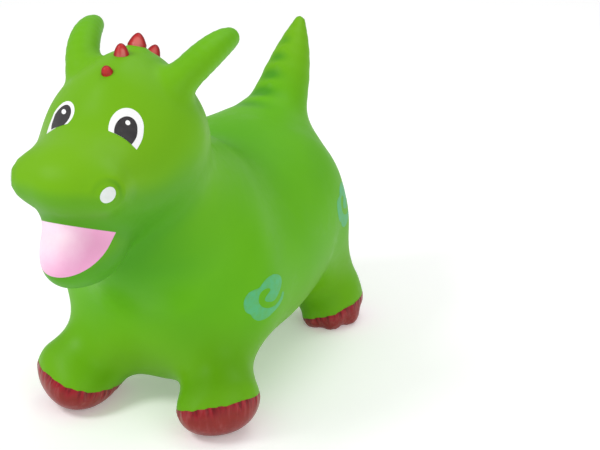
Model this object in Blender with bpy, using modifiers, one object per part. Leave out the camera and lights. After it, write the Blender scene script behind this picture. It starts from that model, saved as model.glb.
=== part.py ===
"""Bouncy ride-on animal: an inflated dragon with ears for handles.

The real toy is one rotationally moulded PVC skin, blown up like a ball, with a
stopper in its belly. The skin is modelled hollow, at its real wall, and told apart
into the moulded and painted areas that the eye reads as pieces: head, trunk, legs,
feet, ears, tail, eyes, nostrils and mouth. The four horns and the valve are pieces
of their own, and the stopper slides out of the valve.

Metres, +Z up. The animal stands on z = 0 and looks along -Y, and its left is +X.
"""
import math
from dataclasses import dataclass

import bmesh
import bpy
import numpy as np
from mathutils import Matrix, Vector
from mathutils.bvhtree import BVHTree

# Skin
WALL = 0.0018
GAP = 0.0003
LEAST_WALL = 0.0011
FLOOR_SINK = 0.003
FLOOR_SNAP = 0.0008

# Trunk: three swollen bodies in a row, and the withers that carry the neck
CHEST_Y = -0.070
CHEST_Z = 0.160
CHEST_HALF_WIDTH = 0.134
CHEST_HALF_LENGTH = 0.076
CHEST_HALF_HEIGHT = 0.132
BARREL_Y = 0.047
BARREL_Z = 0.153
BARREL_HALF_WIDTH = 0.144
BARREL_HALF_LENGTH = 0.158
BARREL_HALF_HEIGHT = 0.124
RUMP_Y = 0.173
RUMP_Z = 0.171
RUMP_HALF_WIDTH = 0.129
RUMP_HALF_LENGTH = 0.117
RUMP_HALF_HEIGHT = 0.119
WITHERS_Y = -0.063
WITHERS_Z = 0.250
WITHERS_HALF_WIDTH = 0.085
WITHERS_HALF_LENGTH = 0.110
WITHERS_HALF_HEIGHT = 0.090
TRUNK_BLEND = 0.070

# Head: HEAD_Y and HEAD_Z place the skull, and the rest of the head is set off from it
HEAD_Y = -0.179
HEAD_Z = 0.381
SKULL_HALF_WIDTH = 0.091
SKULL_HALF_LENGTH = 0.074
SKULL_HALF_HEIGHT = 0.080
CROWN_BACK = 0.016
CROWN_UP = 0.035
CROWN_HALF_WIDTH = 0.034
CROWN_HALF_LENGTH = 0.070
CROWN_HALF_HEIGHT = 0.057
NECK_BASE_Y = -0.117
NECK_BASE_Z = 0.248
NECK_BASE_RADIUS = 0.088
NECK_TOP_BACK = 0.036
NECK_TOP_DOWN = 0.026
NECK_TOP_RADIUS = 0.083
HEAD_BLEND = 0.047
BRIDGE_FORWARD = 0.064
BRIDGE_DOWN = 0.030
BRIDGE_HALF_WIDTH = 0.077
BRIDGE_HALF_LENGTH = 0.077
BRIDGE_HALF_HEIGHT = 0.0555
MUZZLE_FORWARD = 0.115
MUZZLE_DOWN = 0.010
MUZZLE_HALF_WIDTH = 0.065
MUZZLE_HALF_LENGTH = 0.059
MUZZLE_HALF_HEIGHT = 0.0415
FACE_BLEND = 0.033
NOSTRIL_X = 0.0485
NOSTRIL_FORWARD = 0.135
NOSTRIL_DOWN = 0.012
NOSTRIL_RADIUS = 0.019
NOSTRIL_BLEND = 0.021
JAW_FORWARD = 0.090
JAW_DOWN = 0.083
JAW_HALF_WIDTH = 0.048
JAW_HALF_LENGTH = 0.0535
JAW_HALF_HEIGHT = 0.061
CHIN_FORWARD = 0.134
CHIN_DOWN = 0.100
CHIN_HALF_WIDTH = 0.031
CHIN_HALF_LENGTH = 0.041
CHIN_HALF_HEIGHT = 0.033
LIP_BLEND = 0.020
SNOUT_BLEND = 0.049
BODY_BLEND = 0.040

# Ears, the rider's handles: swept back from the skull, the right one hanging a little lower
EAR_ROOT_X = 0.063
EAR_ROOT_BACK = 0.025
EAR_ROOT_UP = 0.067
EAR_ROOT_RADIUS = 0.020
EAR_TIP_X = 0.0885
EAR_TIP_BACK = 0.1045
EAR_TIP_UP = 0.0975
EAR_TIP_RADIUS = 0.0135
EAR_BOW_OUT = 0.004
EAR_BOW_UP = 0.007
EAR_SWELL = 0.0022
EAR_BLEND = 0.020
EAR_LENGTHS = 5
CHAIN_BLEND = 0.002
EAR_LENGTH_FREE = 0.062
EAR_RIGHT_DROOP = 0.0055

# Legs: each a tapered limb on a foot lobe
FRONT_FOOT_X = 0.0875
FRONT_FOOT_Y = -0.128
FRONT_FOOT_HALF_WIDTH = 0.0405
FRONT_FOOT_HALF_LENGTH = 0.0635
FRONT_FOOT_HALF_HEIGHT = 0.036
FRONT_ANKLE_OUT = 0.023
FRONT_ANKLE_FORWARD = 0.006
FRONT_ANKLE_Z = 0.045
FRONT_ANKLE_RADIUS = 0.036
SHOULDER_X = 0.061
SHOULDER_BACK = 0.040
SHOULDER_Z = 0.092
SHOULDER_RADIUS = 0.033
REAR_FOOT_X = 0.099
REAR_FOOT_Y = 0.218
REAR_FOOT_HALF_WIDTH = 0.0410
REAR_FOOT_HALF_LENGTH = 0.0465
REAR_FOOT_HALF_HEIGHT = 0.029
REAR_ANKLE_IN = 0.002
REAR_ANKLE_BACK = 0.006
REAR_ANKLE_Z = 0.053
REAR_ANKLE_RADIUS = 0.035
HAUNCH_X = 0.067
HAUNCH_FORWARD = 0.024
HAUNCH_Z = 0.126
HAUNCH_RADIUS = 0.053
LEG_BLEND = 0.027
LEG_PARTING_RADIUS = 0.074
TOE_COUNT = 3
TOE_RADIUS = 0.0125
TOE_PROUD = 0.0015
TOE_SPREAD = math.radians(30)
TOE_TURN = math.radians(23)
TOE_BLEND = 0.006

# Tail: rises back to a point, with ribs that fall away from its crest. Its crest is twisted a
# little to the right.
TAIL_ROOT_Y = 0.2385
TAIL_ROOT_Z = 0.236
TAIL_ROOT_RADIUS = 0.0585
TAIL_TIP_BACK = 0.1110
TAIL_TIP_UP = 0.1330
TAIL_TIP_RADIUS = 0.0075
TAIL_MIDDLE_SHARE = 0.77
TAIL_MIDDLE_RADIUS = 0.0226
TAIL_TWIST = math.radians(14)
TAIL_BLEND = 0.004
TAIL_LENGTH_FREE = 0.118
RIB_COUNT = 5
RIB_FIRST_SHARE = 0.24
RIB_STEP_SHARE = 0.160
RIB_RADIUS = 0.0058
RIB_LAST_RADIUS = 0.0036
RIB_PROUD = 0.0006
RIB_SINK = 0.0025
RIB_TAPER = 0.5
RIB_ANGLE = math.radians(52)
RIB_FALL = 0.018
RIB_BLEND = 0.0045

# Paint lines of the red feet: height at the foot's middle and the slope of the line
FRONT_PAINT_HEIGHT = 0.036
FRONT_PAINT_OUTWARD = math.radians(15)
FRONT_PAINT_FORWARD = math.radians(9)
REAR_PAINT_HEIGHT = 0.025
REAR_PAINT_OUTWARD = math.radians(12)

# Horns: a row of four rounded cones on the midline, from front to back, the third one the largest
HORN_ANGLES = (-21.0, 1.8, 24.0, 49.0)
HORN_RADII = (0.0068, 0.0088, 0.0108, 0.0086)
HORN_HEIGHTS = (0.0100, 0.0142, 0.0138, 0.0165)
HORN_CONE = 0.42
HORN_ROUND = 4.0
HORN_SINK = 0.004
MOUND_HORN = 2
MOUND_RADIUS = 0.0135
MOUND_RISE = 0.0035
MOUND_BLEND = 0.010
HORN_SIDES = 14
HORN_RINGS = 8

# Eyes: turned out and up from the middle of the skull, round above, and cut straight from the
# inner corner down to the tip. The pupil is cut by the same line.
EYE_OUT = math.radians(30.4)
EYE_UP = math.radians(24.1)
EYE_HALF_WIDTH = 0.0205
EYE_RISE = 0.0245
EYE_TIP_OUT = 0.0032
EYE_TIP_DOWN = 0.0275
EYE_LEAN = 0.20
EYE_CHEEK = 0.0022
PUPIL_HALF_WIDTH = 0.0133
PUPIL_RISE = 0.0153
PUPIL_TIP_DOWN = 0.0198
PUPIL_INWARD = 0.0010
PUPIL_OVERCUT = 0.0060

# Nostrils: white ovals on the bumps of the muzzle, the right one printed a little further round
NOSTRIL_SPOT_OUT = math.radians(31)
NOSTRIL_SPOT_RIGHT_OUT = math.radians(43)
NOSTRIL_SPOT_UP = math.radians(6)
NOSTRIL_SPOT_HALF_WIDTH = 0.0083
NOSTRIL_SPOT_HALF_HEIGHT = 0.0108
NOSTRIL_SPOT_LEAN = math.radians(-40)

# Mouth: a smile on the jaw, angles seen from the middle of the jaw
MOUTH_HALF_WIDTH = math.radians(64)
MOUTH_TOP = math.radians(25)
MOUTH_CORNER = math.radians(13)
MOUTH_BOTTOM = math.radians(-17.5)
MOUTH_TOP_CURVE = 2.0
MOUTH_BOTTOM_CURVE = 3.3

# Valve in the belly, and its stopper
VALVE_Y = 0.067
COLLAR_RADIUS = 0.0110
COLLAR_PROUD = 0.0010
COLLAR_DEPTH = 0.0150
PLUG_MOUTH_RADIUS = 0.0050
PLUG_TIP_RADIUS = 0.0040
PLUG_LENGTH = 0.0115
PLUG_HEAD_RADIUS = 0.0085
PLUG_HEAD_THICKNESS = 0.0024
PLUG_CHAMFER = 0.0006
VALVE_SIDES = 24

# Parting of the neck from the trunk
NECK_PARTING_FORWARD = 0.046
NECK_PARTING_DOWN = 0.003
NECK_PARTING_RADIUS = 0.175

# Fineness of the meshes
BALL_SUBDIVISIONS = 3
LARGE_BALL_SUBDIVISIONS = 4
RAW_VOXEL = 0.010
RAW_ROUNDS = 10
FINE_VOXEL = 0.0045
FINE_ROUNDS = 4
LAST_ROUNDS = 2
RELAX_SHARE = 0.5
LEAST_SLOPE = 0.25
OUTSIDE_TRIANGLES = 5200
INSIDE_TRIANGLES = 2900
WALL_ROUNDS = 4
LARGE_BALL = 0.1
CONE_REACH = 0.012
RAY_ROUNDS = 40
SLAB_DEPTH = 0.3
EYE_STEPS = 12
EYE_SIDE_STEPS = 4
NOSTRIL_STEPS = 14
MOUTH_STEPS = 32
SLOPE_STEP = 0.0004
SHARP_ANGLE = math.radians(40)

COLOURS = {
    "green": ((0.128, 0.412, 0.030, 1.0), 0.42),
    "red": ((0.300, 0.022, 0.024, 1.0), 0.38),
    "horn_red": ((0.440, 0.020, 0.026, 1.0), 0.34),
    "pink": ((0.860, 0.450, 0.640, 1.0), 0.45),
    "white": ((0.860, 0.870, 0.860, 1.0), 0.40),
    "black": ((0.042, 0.044, 0.046, 1.0), 0.32),
    "valve_green": ((0.110, 0.330, 0.040, 1.0), 0.45),
    "plug_white": ((0.800, 0.800, 0.780, 1.0), 0.40),
}


@dataclass(frozen=True)
class Ball:
    """An ellipsoid with its axes along X, Y and Z."""

    centre: tuple
    half: tuple

    def distance(self, points):
        """Returns the signed distance of each point, close to true near the surface."""
        offset = points - np.array(self.centre)
        half = np.array(self.half)
        near = np.linalg.norm(offset / half, axis=1) + 1e-9
        steep = np.linalg.norm(offset / half ** 2, axis=1) + 1e-9
        return near * (near - 1.0) / steep

    def add_to(self, mesh):
        """Adds the ball's primitive to a bmesh."""
        place = Matrix.Translation(self.centre) @ Matrix.Diagonal((*self.half, 1.0))
        bmesh.ops.create_icosphere(mesh, subdivisions=BALL_SUBDIVISIONS, radius=1.0, matrix=place)


@dataclass(frozen=True)
class Limb:
    """A round tapered limb between two spheres."""

    start: tuple
    end: tuple
    start_radius: float
    end_radius: float

    def distance(self, points):
        """Returns the signed distance of each point."""
        start = np.array(self.start)
        along = np.array(self.end) - start
        length = np.linalg.norm(along)
        along = along / length
        offset = points - start
        reach = offset @ along
        off_axis = np.linalg.norm(offset - np.outer(reach, along), axis=1)
        lean = (self.start_radius - self.end_radius) / length
        upright = math.sqrt(max(1.0 - lean * lean, 1e-6))
        foot = np.clip(reach + off_axis * lean / upright, 0.0, length)
        radius = self.start_radius - lean * foot
        return np.hypot(off_axis, reach - foot) - radius

    def add_to(self, mesh):
        """Adds the hull of the limb's two end spheres to a bmesh."""
        hull = bmesh.new()
        for centre, radius in ((self.start, self.start_radius), (self.end, self.end_radius)):
            place = Matrix.Translation(centre)
            bmesh.ops.create_icosphere(hull, subdivisions=BALL_SUBDIVISIONS, radius=radius, matrix=place)
        made = bmesh.ops.convex_hull(hull, input=hull.verts)
        spare = made["geom_interior"] + made["geom_unused"]
        spare = {item for item in spare if isinstance(item, bmesh.types.BMVert)}
        bmesh.ops.delete(hull, geom=list(spare), context="VERTS")
        copy = bpy.data.meshes.new("limb_hull")
        hull.to_mesh(copy)
        hull.free()
        mesh.from_mesh(copy)
        bpy.data.meshes.remove(copy)


@dataclass(frozen=True)
class Blend:
    """Forms that flow into each other over a given width."""

    width: float
    forms: tuple

    def distance(self, points):
        """Returns the signed distance to the blended surface."""
        total = self.forms[0].distance(points)
        for form in self.forms[1:]:
            other = form.distance(points)
            overlap = np.maximum(self.width - np.abs(total - other), 0.0)
            total = np.minimum(total, other) - overlap ** 2 / (4.0 * self.width)
        return total

    def add_to(self, mesh):
        """Adds every blended form's primitive to a bmesh."""
        for form in self.forms:
            form.add_to(mesh)


def from_head(out=0.0, back=0.0, up=0.0):
    """Returns a place set off from the middle of the skull."""
    return (out, HEAD_Y + back, HEAD_Z + up)


def between(start, end, share):
    """Returns the place at a share of the way from start to end."""
    return tuple(Vector(start).lerp(Vector(end), share))


def surface_point(form, focus, direction):
    """Returns where a ray from inside the form meets its surface, within reach of the largest body."""
    low, high = 0.0, BARREL_HALF_WIDTH + BARREL_HALF_LENGTH
    for _ in range(RAY_ROUNDS):
        middle = (low + high) / 2
        inside = form.distance(np.array([Vector(focus) + Vector(direction) * middle]))[0] < 0.0
        low, high = (middle, high) if inside else (low, middle)
    return Vector(focus) + Vector(direction) * high


def trunk():
    """Returns the chest, barrel, rump and withers."""
    chest = Ball((0.0, CHEST_Y, CHEST_Z), (CHEST_HALF_WIDTH, CHEST_HALF_LENGTH, CHEST_HALF_HEIGHT))
    barrel = Ball((0.0, BARREL_Y, BARREL_Z), (BARREL_HALF_WIDTH, BARREL_HALF_LENGTH, BARREL_HALF_HEIGHT))
    rump = Ball((0.0, RUMP_Y, RUMP_Z), (RUMP_HALF_WIDTH, RUMP_HALF_LENGTH, RUMP_HALF_HEIGHT))
    withers = Ball((0.0, WITHERS_Y, WITHERS_Z),
                   (WITHERS_HALF_WIDTH, WITHERS_HALF_LENGTH, WITHERS_HALF_HEIGHT))
    return Blend(TRUNK_BLEND, (chest, barrel, rump, withers))


def jaw_centre():
    """Returns the middle of the lower jaw."""
    return from_head(back=-JAW_FORWARD, up=-JAW_DOWN)


def nostril_centre(side):
    """Returns the middle of one nostril bump."""
    return from_head(side * NOSTRIL_X, -NOSTRIL_FORWARD, -NOSTRIL_DOWN)


def snout():
    """Returns the bridge, the muzzle with its nostril bumps, and the jaw under it."""
    bridge = Ball(from_head(back=-BRIDGE_FORWARD, up=-BRIDGE_DOWN),
                  (BRIDGE_HALF_WIDTH, BRIDGE_HALF_LENGTH, BRIDGE_HALF_HEIGHT))
    muzzle = Ball(from_head(back=-MUZZLE_FORWARD, up=-MUZZLE_DOWN),
                  (MUZZLE_HALF_WIDTH, MUZZLE_HALF_LENGTH, MUZZLE_HALF_HEIGHT))
    bumps = tuple(Ball(nostril_centre(side), (NOSTRIL_RADIUS,) * 3) for side in (1, -1))
    jaw = Ball(jaw_centre(), (JAW_HALF_WIDTH, JAW_HALF_LENGTH, JAW_HALF_HEIGHT))
    chin = Ball(from_head(back=-CHIN_FORWARD, up=-CHIN_DOWN),
                (CHIN_HALF_WIDTH, CHIN_HALF_LENGTH, CHIN_HALF_HEIGHT))
    face = Blend(NOSTRIL_BLEND, (Blend(FACE_BLEND, (bridge, muzzle)), *bumps))
    return Blend(LIP_BLEND, (face, Blend(FACE_BLEND, (jaw, chin))))


def ear_tip(side):
    """Returns the middle of one ear's round tip."""
    droop = EAR_RIGHT_DROOP if side < 0 else 0.0
    return from_head(side * EAR_TIP_X, EAR_TIP_BACK, EAR_TIP_UP - droop)


def ear(side):
    """Returns one ear, bowed and swollen a little between root and tip."""
    root = from_head(side * EAR_ROOT_X, EAR_ROOT_BACK, EAR_ROOT_UP)
    stations = []
    for number in range(EAR_LENGTHS + 1):
        share = number / EAR_LENGTHS
        middle = 4.0 * share * (1.0 - share)
        place = Vector(between(root, ear_tip(side), share))
        place += middle * Vector((side * EAR_BOW_OUT, 0.0, EAR_BOW_UP))
        radius = EAR_ROOT_RADIUS + share * (EAR_TIP_RADIUS - EAR_ROOT_RADIUS) + middle * EAR_SWELL
        stations.append((tuple(place), radius))
    lengths = tuple(Limb(low[0], high[0], low[1], high[1]) for low, high in zip(stations, stations[1:]))
    return Blend(CHAIN_BLEND, lengths)


def horn_direction(number):
    """Returns the way from the middle of the skull to a horn."""
    turn = math.radians(HORN_ANGLES[number])
    return Vector((0.0, math.sin(turn), math.cos(turn)))


def head():
    """Returns the skull, crown, neck, snout and ears, and the mound under the largest horn."""
    skull = Ball(from_head(), (SKULL_HALF_WIDTH, SKULL_HALF_LENGTH, SKULL_HALF_HEIGHT))
    crown = Ball(from_head(back=CROWN_BACK, up=CROWN_UP),
                 (CROWN_HALF_WIDTH, CROWN_HALF_LENGTH, CROWN_HALF_HEIGHT))
    neck = Limb((0.0, NECK_BASE_Y, NECK_BASE_Z), from_head(back=NECK_TOP_BACK, up=-NECK_TOP_DOWN),
                NECK_BASE_RADIUS, NECK_TOP_RADIUS)
    bare = Blend(SNOUT_BLEND, (Blend(HEAD_BLEND, (skull, crown, neck)), snout()))
    upward = horn_direction(MOUND_HORN)
    seat = surface_point(bare, from_head(), upward)
    mound = Ball(tuple(seat + upward * (MOUND_RISE - MOUND_RADIUS)), (MOUND_RADIUS,) * 3)
    return Blend(EAR_BLEND, (Blend(MOUND_BLEND, (bare, mound)), ear(1), ear(-1)))


def tail_point(share):
    """Returns the place on the tail's axis at a share of its length."""
    root = (0.0, TAIL_ROOT_Y, TAIL_ROOT_Z)
    tip = (0.0, TAIL_ROOT_Y + TAIL_TIP_BACK, TAIL_ROOT_Z + TAIL_TIP_UP)
    return Vector(between(root, tip, share))


def tail_radius(share):
    """Returns the tail's radius at a share of its length."""
    radii = (TAIL_ROOT_RADIUS, TAIL_MIDDLE_RADIUS, TAIL_TIP_RADIUS)
    return float(np.interp(share, (0.0, TAIL_MIDDLE_SHARE, 1.0), radii))


def tail_rib(number, side):
    """Returns one rib on a side of the tail, which falls away from the crest towards the root."""
    share = RIB_FIRST_SHARE + number * RIB_STEP_SHARE
    along = tail_point(1.0) - tail_point(0.0)
    fall = RIB_FALL / along.length
    along.normalize()
    across = Matrix.Rotation(-TAIL_TWIST, 3, along) @ Vector((1.0, 0.0, 0.0))
    crest = across.cross(along)
    radius = RIB_RADIUS + (RIB_LAST_RADIUS - RIB_RADIUS) * number / max(RIB_COUNT - 1, 1)
    thin = radius * RIB_TAPER
    low = share - fall * tail_radius(share) / TAIL_ROOT_RADIUS
    slope = crest * math.cos(RIB_ANGLE) + across * side * math.sin(RIB_ANGLE)
    proud = RIB_PROUD * radius / RIB_RADIUS
    start = tail_point(share) + crest * (tail_radius(share) + proud - radius)
    end = tail_point(low) + slope * (tail_radius(low) - thin - RIB_SINK)
    return Limb(tuple(start), tuple(end), radius, thin)


def tail():
    """Returns the tail with its ribs."""
    shares = (0.0, TAIL_MIDDLE_SHARE, 1.0)
    lengths = tuple(Limb(tuple(tail_point(a)), tuple(tail_point(b)), tail_radius(a), tail_radius(b))
                    for a, b in zip(shares, shares[1:]))
    ribs = tuple(tail_rib(number, side) for number in range(RIB_COUNT) for side in (1, -1))
    return Blend(RIB_BLEND, (Blend(TAIL_BLEND, lengths), *ribs))


def front_leg(side):
    """Returns one front leg and its foot."""
    shoulder = (side * SHOULDER_X, FRONT_FOOT_Y + SHOULDER_BACK, SHOULDER_Z)
    ankle = (side * (FRONT_FOOT_X + FRONT_ANKLE_OUT), FRONT_FOOT_Y - FRONT_ANKLE_FORWARD, FRONT_ANKLE_Z)
    foot = Ball((side * FRONT_FOOT_X, FRONT_FOOT_Y, FRONT_FOOT_HALF_HEIGHT - FLOOR_SINK),
                (FRONT_FOOT_HALF_WIDTH, FRONT_FOOT_HALF_LENGTH, FRONT_FOOT_HALF_HEIGHT))
    return Blend(LEG_BLEND, (Limb(shoulder, ankle, SHOULDER_RADIUS, FRONT_ANKLE_RADIUS), foot))


def toe(side, number):
    """Returns one toe of a rear foot, on the edge that looks forwards and outwards."""
    turn = TOE_TURN + (number - (TOE_COUNT - 1) / 2) * TOE_SPREAD
    out = math.sin(turn) * (REAR_FOOT_HALF_WIDTH + TOE_PROUD - TOE_RADIUS)
    forward = math.cos(turn) * (REAR_FOOT_HALF_LENGTH + TOE_PROUD - TOE_RADIUS)
    centre = (side * (REAR_FOOT_X + out), REAR_FOOT_Y - forward, TOE_RADIUS - FLOOR_SINK)
    return Ball(centre, (TOE_RADIUS,) * 3)


def rear_leg(side):
    """Returns one rear leg with its foot and toes."""
    haunch = (side * HAUNCH_X, REAR_FOOT_Y - HAUNCH_FORWARD, HAUNCH_Z)
    ankle = (side * (REAR_FOOT_X - REAR_ANKLE_IN), REAR_FOOT_Y + REAR_ANKLE_BACK, REAR_ANKLE_Z)
    foot = Ball((side * REAR_FOOT_X, REAR_FOOT_Y, REAR_FOOT_HALF_HEIGHT - FLOOR_SINK),
                (REAR_FOOT_HALF_WIDTH, REAR_FOOT_HALF_LENGTH, REAR_FOOT_HALF_HEIGHT))
    toes = tuple(toe(side, number) for number in range(TOE_COUNT))
    leg = Blend(LEG_BLEND, (Limb(haunch, ankle, HAUNCH_RADIUS, REAR_ANKLE_RADIUS), foot))
    return Blend(TOE_BLEND, (leg, *toes))


def animal():
    """Returns the whole outer form of the skin."""
    legs = tuple(leg(side) for leg in (front_leg, rear_leg) for side in (1, -1))
    return Blend(BODY_BLEND, (trunk(), head(), tail(), *legs))


def slope(form, points):
    """Returns the form's distances and outward directions at the points."""
    value = form.distance(points)
    steps = np.eye(3) * SLOPE_STEP
    grade = np.stack([form.distance(points + step) - form.distance(points - step) for step in steps], axis=1)
    grade /= 2.0 * SLOPE_STEP
    return value, grade


def coordinates(mesh):
    """Returns a mesh's vertices as an array."""
    flat = np.empty(len(mesh.vertices) * 3)
    mesh.vertices.foreach_get("co", flat)
    return flat.reshape(-1, 3)


def settle(mesh, form, inset, rounds, relax):
    """Lays a mesh on the blended form, and evens out its faces along the way."""
    points = coordinates(mesh)
    ends = np.empty(len(mesh.edges) * 2, dtype=np.int64)
    mesh.edges.foreach_get("vertices", ends)
    ends = ends.reshape(-1, 2)
    for _ in range(rounds):
        if relax:
            near = np.zeros_like(points)
            count = np.zeros(len(points))
            for one, other in ((0, 1), (1, 0)):
                np.add.at(near, ends[:, one], points[ends[:, other]])
                np.add.at(count, ends[:, one], 1)
            points += relax * (near / count[:, None] - points)
        value, grade = slope(form, points)
        size = np.maximum((grade ** 2).sum(axis=1), LEAST_SLOPE)
        points -= ((value + inset) / size)[:, None] * grade
        points[points[:, 2] < inset + FLOOR_SNAP, 2] = inset
    mesh.vertices.foreach_set("co", points.ravel())
    mesh.update()


def new_object(name, mesh, collection):
    """Links a new object with the given mesh to a collection."""
    made = bpy.data.objects.new(name, mesh)
    collection.objects.link(made)
    return made


def settled_mesh(item):
    """Puts an object's evaluated mesh in place of its own and drops its modifiers."""
    graph = bpy.context.evaluated_depsgraph_get()
    mesh = bpy.data.meshes.new_from_object(item.evaluated_get(graph))
    old = item.data
    item.modifiers.clear()
    item.data = mesh
    bpy.data.meshes.remove(old)
    return item


def triangle_count(mesh):
    """Returns how many triangles a mesh's faces make."""
    return sum(len(face.vertices) - 2 for face in mesh.polygons)


def grow(name, form, inset, triangles, collection):
    """Models the form as a closed mesh: primitives joined by voxels, then laid on the blend."""
    shapes = bmesh.new()
    form.add_to(shapes)
    mesh = bpy.data.meshes.new(name)
    shapes.to_mesh(mesh)
    shapes.free()
    item = new_object(name, mesh, collection)
    for voxel, rounds in ((RAW_VOXEL, RAW_ROUNDS), (FINE_VOXEL, FINE_ROUNDS)):
        remesh = item.modifiers.new("one_skin", "REMESH")
        remesh.mode = "VOXEL"
        remesh.voxel_size = voxel
        settled_mesh(item)
        settle(item.data, form, inset, rounds, RELAX_SHARE)
    thin = item.modifiers.new("fewer_faces", "DECIMATE")
    thin.ratio = triangles / triangle_count(item.data)
    settled_mesh(item)
    settle(item.data, form, inset, LAST_ROUNDS, relax=0.0)
    return item


def duplicate(item, name, collection):
    """Returns a copy of an object with its own mesh."""
    return new_object(name, item.data.copy(), collection)


def combine(item, other, operation):
    """Cuts, keeps or joins an object by another with an exact Boolean."""
    cut = item.modifiers.new("cut", "BOOLEAN")
    cut.operation = operation
    cut.solver = "EXACT"
    cut.object = other
    return settled_mesh(item)


def surface_tree(mesh):
    """Returns a search tree of a mesh's faces."""
    corners = [vertex.co for vertex in mesh.vertices]
    return BVHTree.FromPolygons(corners, [face.vertices[:] for face in mesh.polygons])


def sample_places(mesh):
    """Returns each corner, edge middle and face middle with the vertices it hangs on."""
    places = [(vertex.co.copy(), (vertex.index,)) for vertex in mesh.vertices]
    for group in (*mesh.edges, *mesh.polygons):
        corners = tuple(group.vertices)
        middle = sum((mesh.vertices[corner].co for corner in corners), Vector()) / len(corners)
        places.append((middle, corners))
    return places


def keep_wall(inside, outside):
    """Moves the inner surface in wherever it comes closer to the outer one than the least wall."""
    skin = surface_tree(outside.data)
    for _ in range(WALL_ROUNDS):
        for place, corners in sample_places(inside.data):
            near, normal, _, _ = skin.find_nearest(place)
            depth = (near - place).dot(normal)
            if depth < LEAST_WALL:
                for corner in corners:
                    inside.data.vertices[corner].co -= normal * (LEAST_WALL - depth)
        space = surface_tree(inside.data)
        for place, _ in sample_places(outside.data):
            near, normal, index, _ = space.find_nearest(place)
            height = (place - near).dot(normal)
            if height < LEAST_WALL:
                for corner in inside.data.polygons[index].vertices:
                    inside.data.vertices[corner].co -= normal * (LEAST_WALL - height)


def hollow(outside, inside):
    """Turns the inner surface over and joins it to the outer one, as one wall."""
    keep_wall(inside, outside)
    wall = bmesh.new()
    wall.from_mesh(inside.data)
    bmesh.ops.reverse_faces(wall, faces=wall.faces)
    wall.from_mesh(outside.data)
    wall.to_mesh(outside.data)
    wall.free()
    return outside


def part_off(item, cutters, name, collection):
    """Cuts a piece off along a cutter and returns it; the item keeps the rest.

    The first cutter bounds the piece and the second one, a gap larger, bounds the rest.
    """
    piece = duplicate(item, name, collection)
    combine(piece, cutters[0], "INTERSECT")
    combine(item, cutters[1], "DIFFERENCE")
    return piece


def cutter_object(name, shape, tools):
    """Makes a hidden wire object from a bmesh."""
    mesh = bpy.data.meshes.new(name)
    bmesh.ops.recalc_face_normals(shape, faces=shape.faces)
    shape.to_mesh(mesh)
    shape.free()
    item = new_object(name, mesh, tools)
    item.hide_render = True
    item.display_type = "WIRE"
    return item


def ball_cutters(name, centre, radius, tools):
    """Makes the two balls that part a limb from the body."""
    pair = []
    fineness = LARGE_BALL_SUBDIVISIONS if radius > LARGE_BALL else BALL_SUBDIVISIONS
    for grown in (0.0, GAP):
        shape = bmesh.new()
        bmesh.ops.create_icosphere(shape, subdivisions=fineness, radius=radius + grown,
                                   matrix=Matrix.Translation(centre))
        pair.append(cutter_object(f"{name}_ball", shape, tools))
    return pair


def slab_cutters(name, centre, outward, forward, side, tools):
    """Makes the two blocks whose tilted tops are a foot's paint line."""
    pair = []
    turn = Matrix.Rotation(-side * outward, 4, "Y") @ Matrix.Rotation(-forward, 4, "X")
    for grown in (0.0, GAP):
        shape = bmesh.new()
        place = Matrix.Translation(centre) @ turn @ Matrix.Translation((0.0, 0.0, grown - SLAB_DEPTH / 2))
        bmesh.ops.create_cube(shape, size=SLAB_DEPTH, matrix=place)
        pair.append(cutter_object(f"{name}_slab", shape, tools))
    return pair


def looking(out, up, side=1):
    """Returns the direction turned outwards from -Y and then up."""
    return Vector((side * math.sin(out) * math.cos(up), -math.cos(out) * math.cos(up), math.sin(up)))


def cone_cutters(name, focus, spots, tools):
    """Makes the two cones from a focus whose sides pass through an outline on the skin."""
    pair = []
    middle = sum(spots, Vector()) / len(spots)
    for grown in (0.0, GAP):
        shape = bmesh.new()
        rings = []
        for reach in (-CONE_REACH, CONE_REACH):
            ring = []
            for spot in spots:
                away = (spot - middle).normalized() * grown
                ray = (spot - Vector(focus)).normalized()
                ring.append(shape.verts.new(spot + away + ray * reach))
            rings.append(ring)
        for ring in rings:
            shape.faces.new(ring)
        edges = [edge for edge in shape.edges]
        bmesh.ops.bridge_loops(shape, edges=edges)
        bmesh.ops.triangulate(shape, faces=[face for face in shape.faces if len(face.verts) > 4])
        pair.append(cutter_object(f"{name}_cone", shape, tools))
    return pair


def on_skin(form, focus, out, up, side, outline):
    """Lays a flat outline on the skin, round the point seen from the focus at two angles."""
    centre = surface_point(form, focus, looking(out, up, side))
    _, grade = slope(form, np.array([centre]))
    normal = Vector(grade[0]).normalized()
    across = Vector((0.0, 0.0, 1.0)).cross(normal).normalized() * side
    upward = normal.cross(across) * side
    spots = []
    for right, rise in outline:
        aim = centre + across * right + upward * rise
        spots.append(surface_point(form, focus, (aim - Vector(focus)).normalized()))
    return spots


def oval(half_width, half_height, lean, count):
    """Returns a leaning oval's outline."""
    turn = Matrix.Rotation(lean, 2)
    points = []
    for step in range(count):
        angle = math.tau * step / count
        points.append(tuple(turn @ Vector((half_width * math.cos(angle), half_height * math.sin(angle)))))
    return points


def eye_outline(half_width, rise, tip_down, inward=0.0, overcut=0.0):
    """Returns an outline that is half an oval above and runs down two long sides to a tip."""
    points = []
    for step in range(EYE_STEPS):
        angle = math.pi * step / EYE_STEPS
        height = rise * math.sin(angle)
        points.append((half_width * math.cos(angle) + EYE_LEAN * height, height))
    tip = (EYE_TIP_OUT, -tip_down)
    for start, end, bow in (((-half_width, 0.0), tip, -overcut), (tip, (half_width, 0.0), EYE_CHEEK)):
        for step in range(EYE_SIDE_STEPS):
            along = step / EYE_SIDE_STEPS
            swell = bow * math.sin(math.pi * along)
            right, height = Vector(start).lerp(Vector(end), along)
            points.append((right + swell, height - abs(swell)))
    return [(right - inward, height) for right, height in points]


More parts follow.
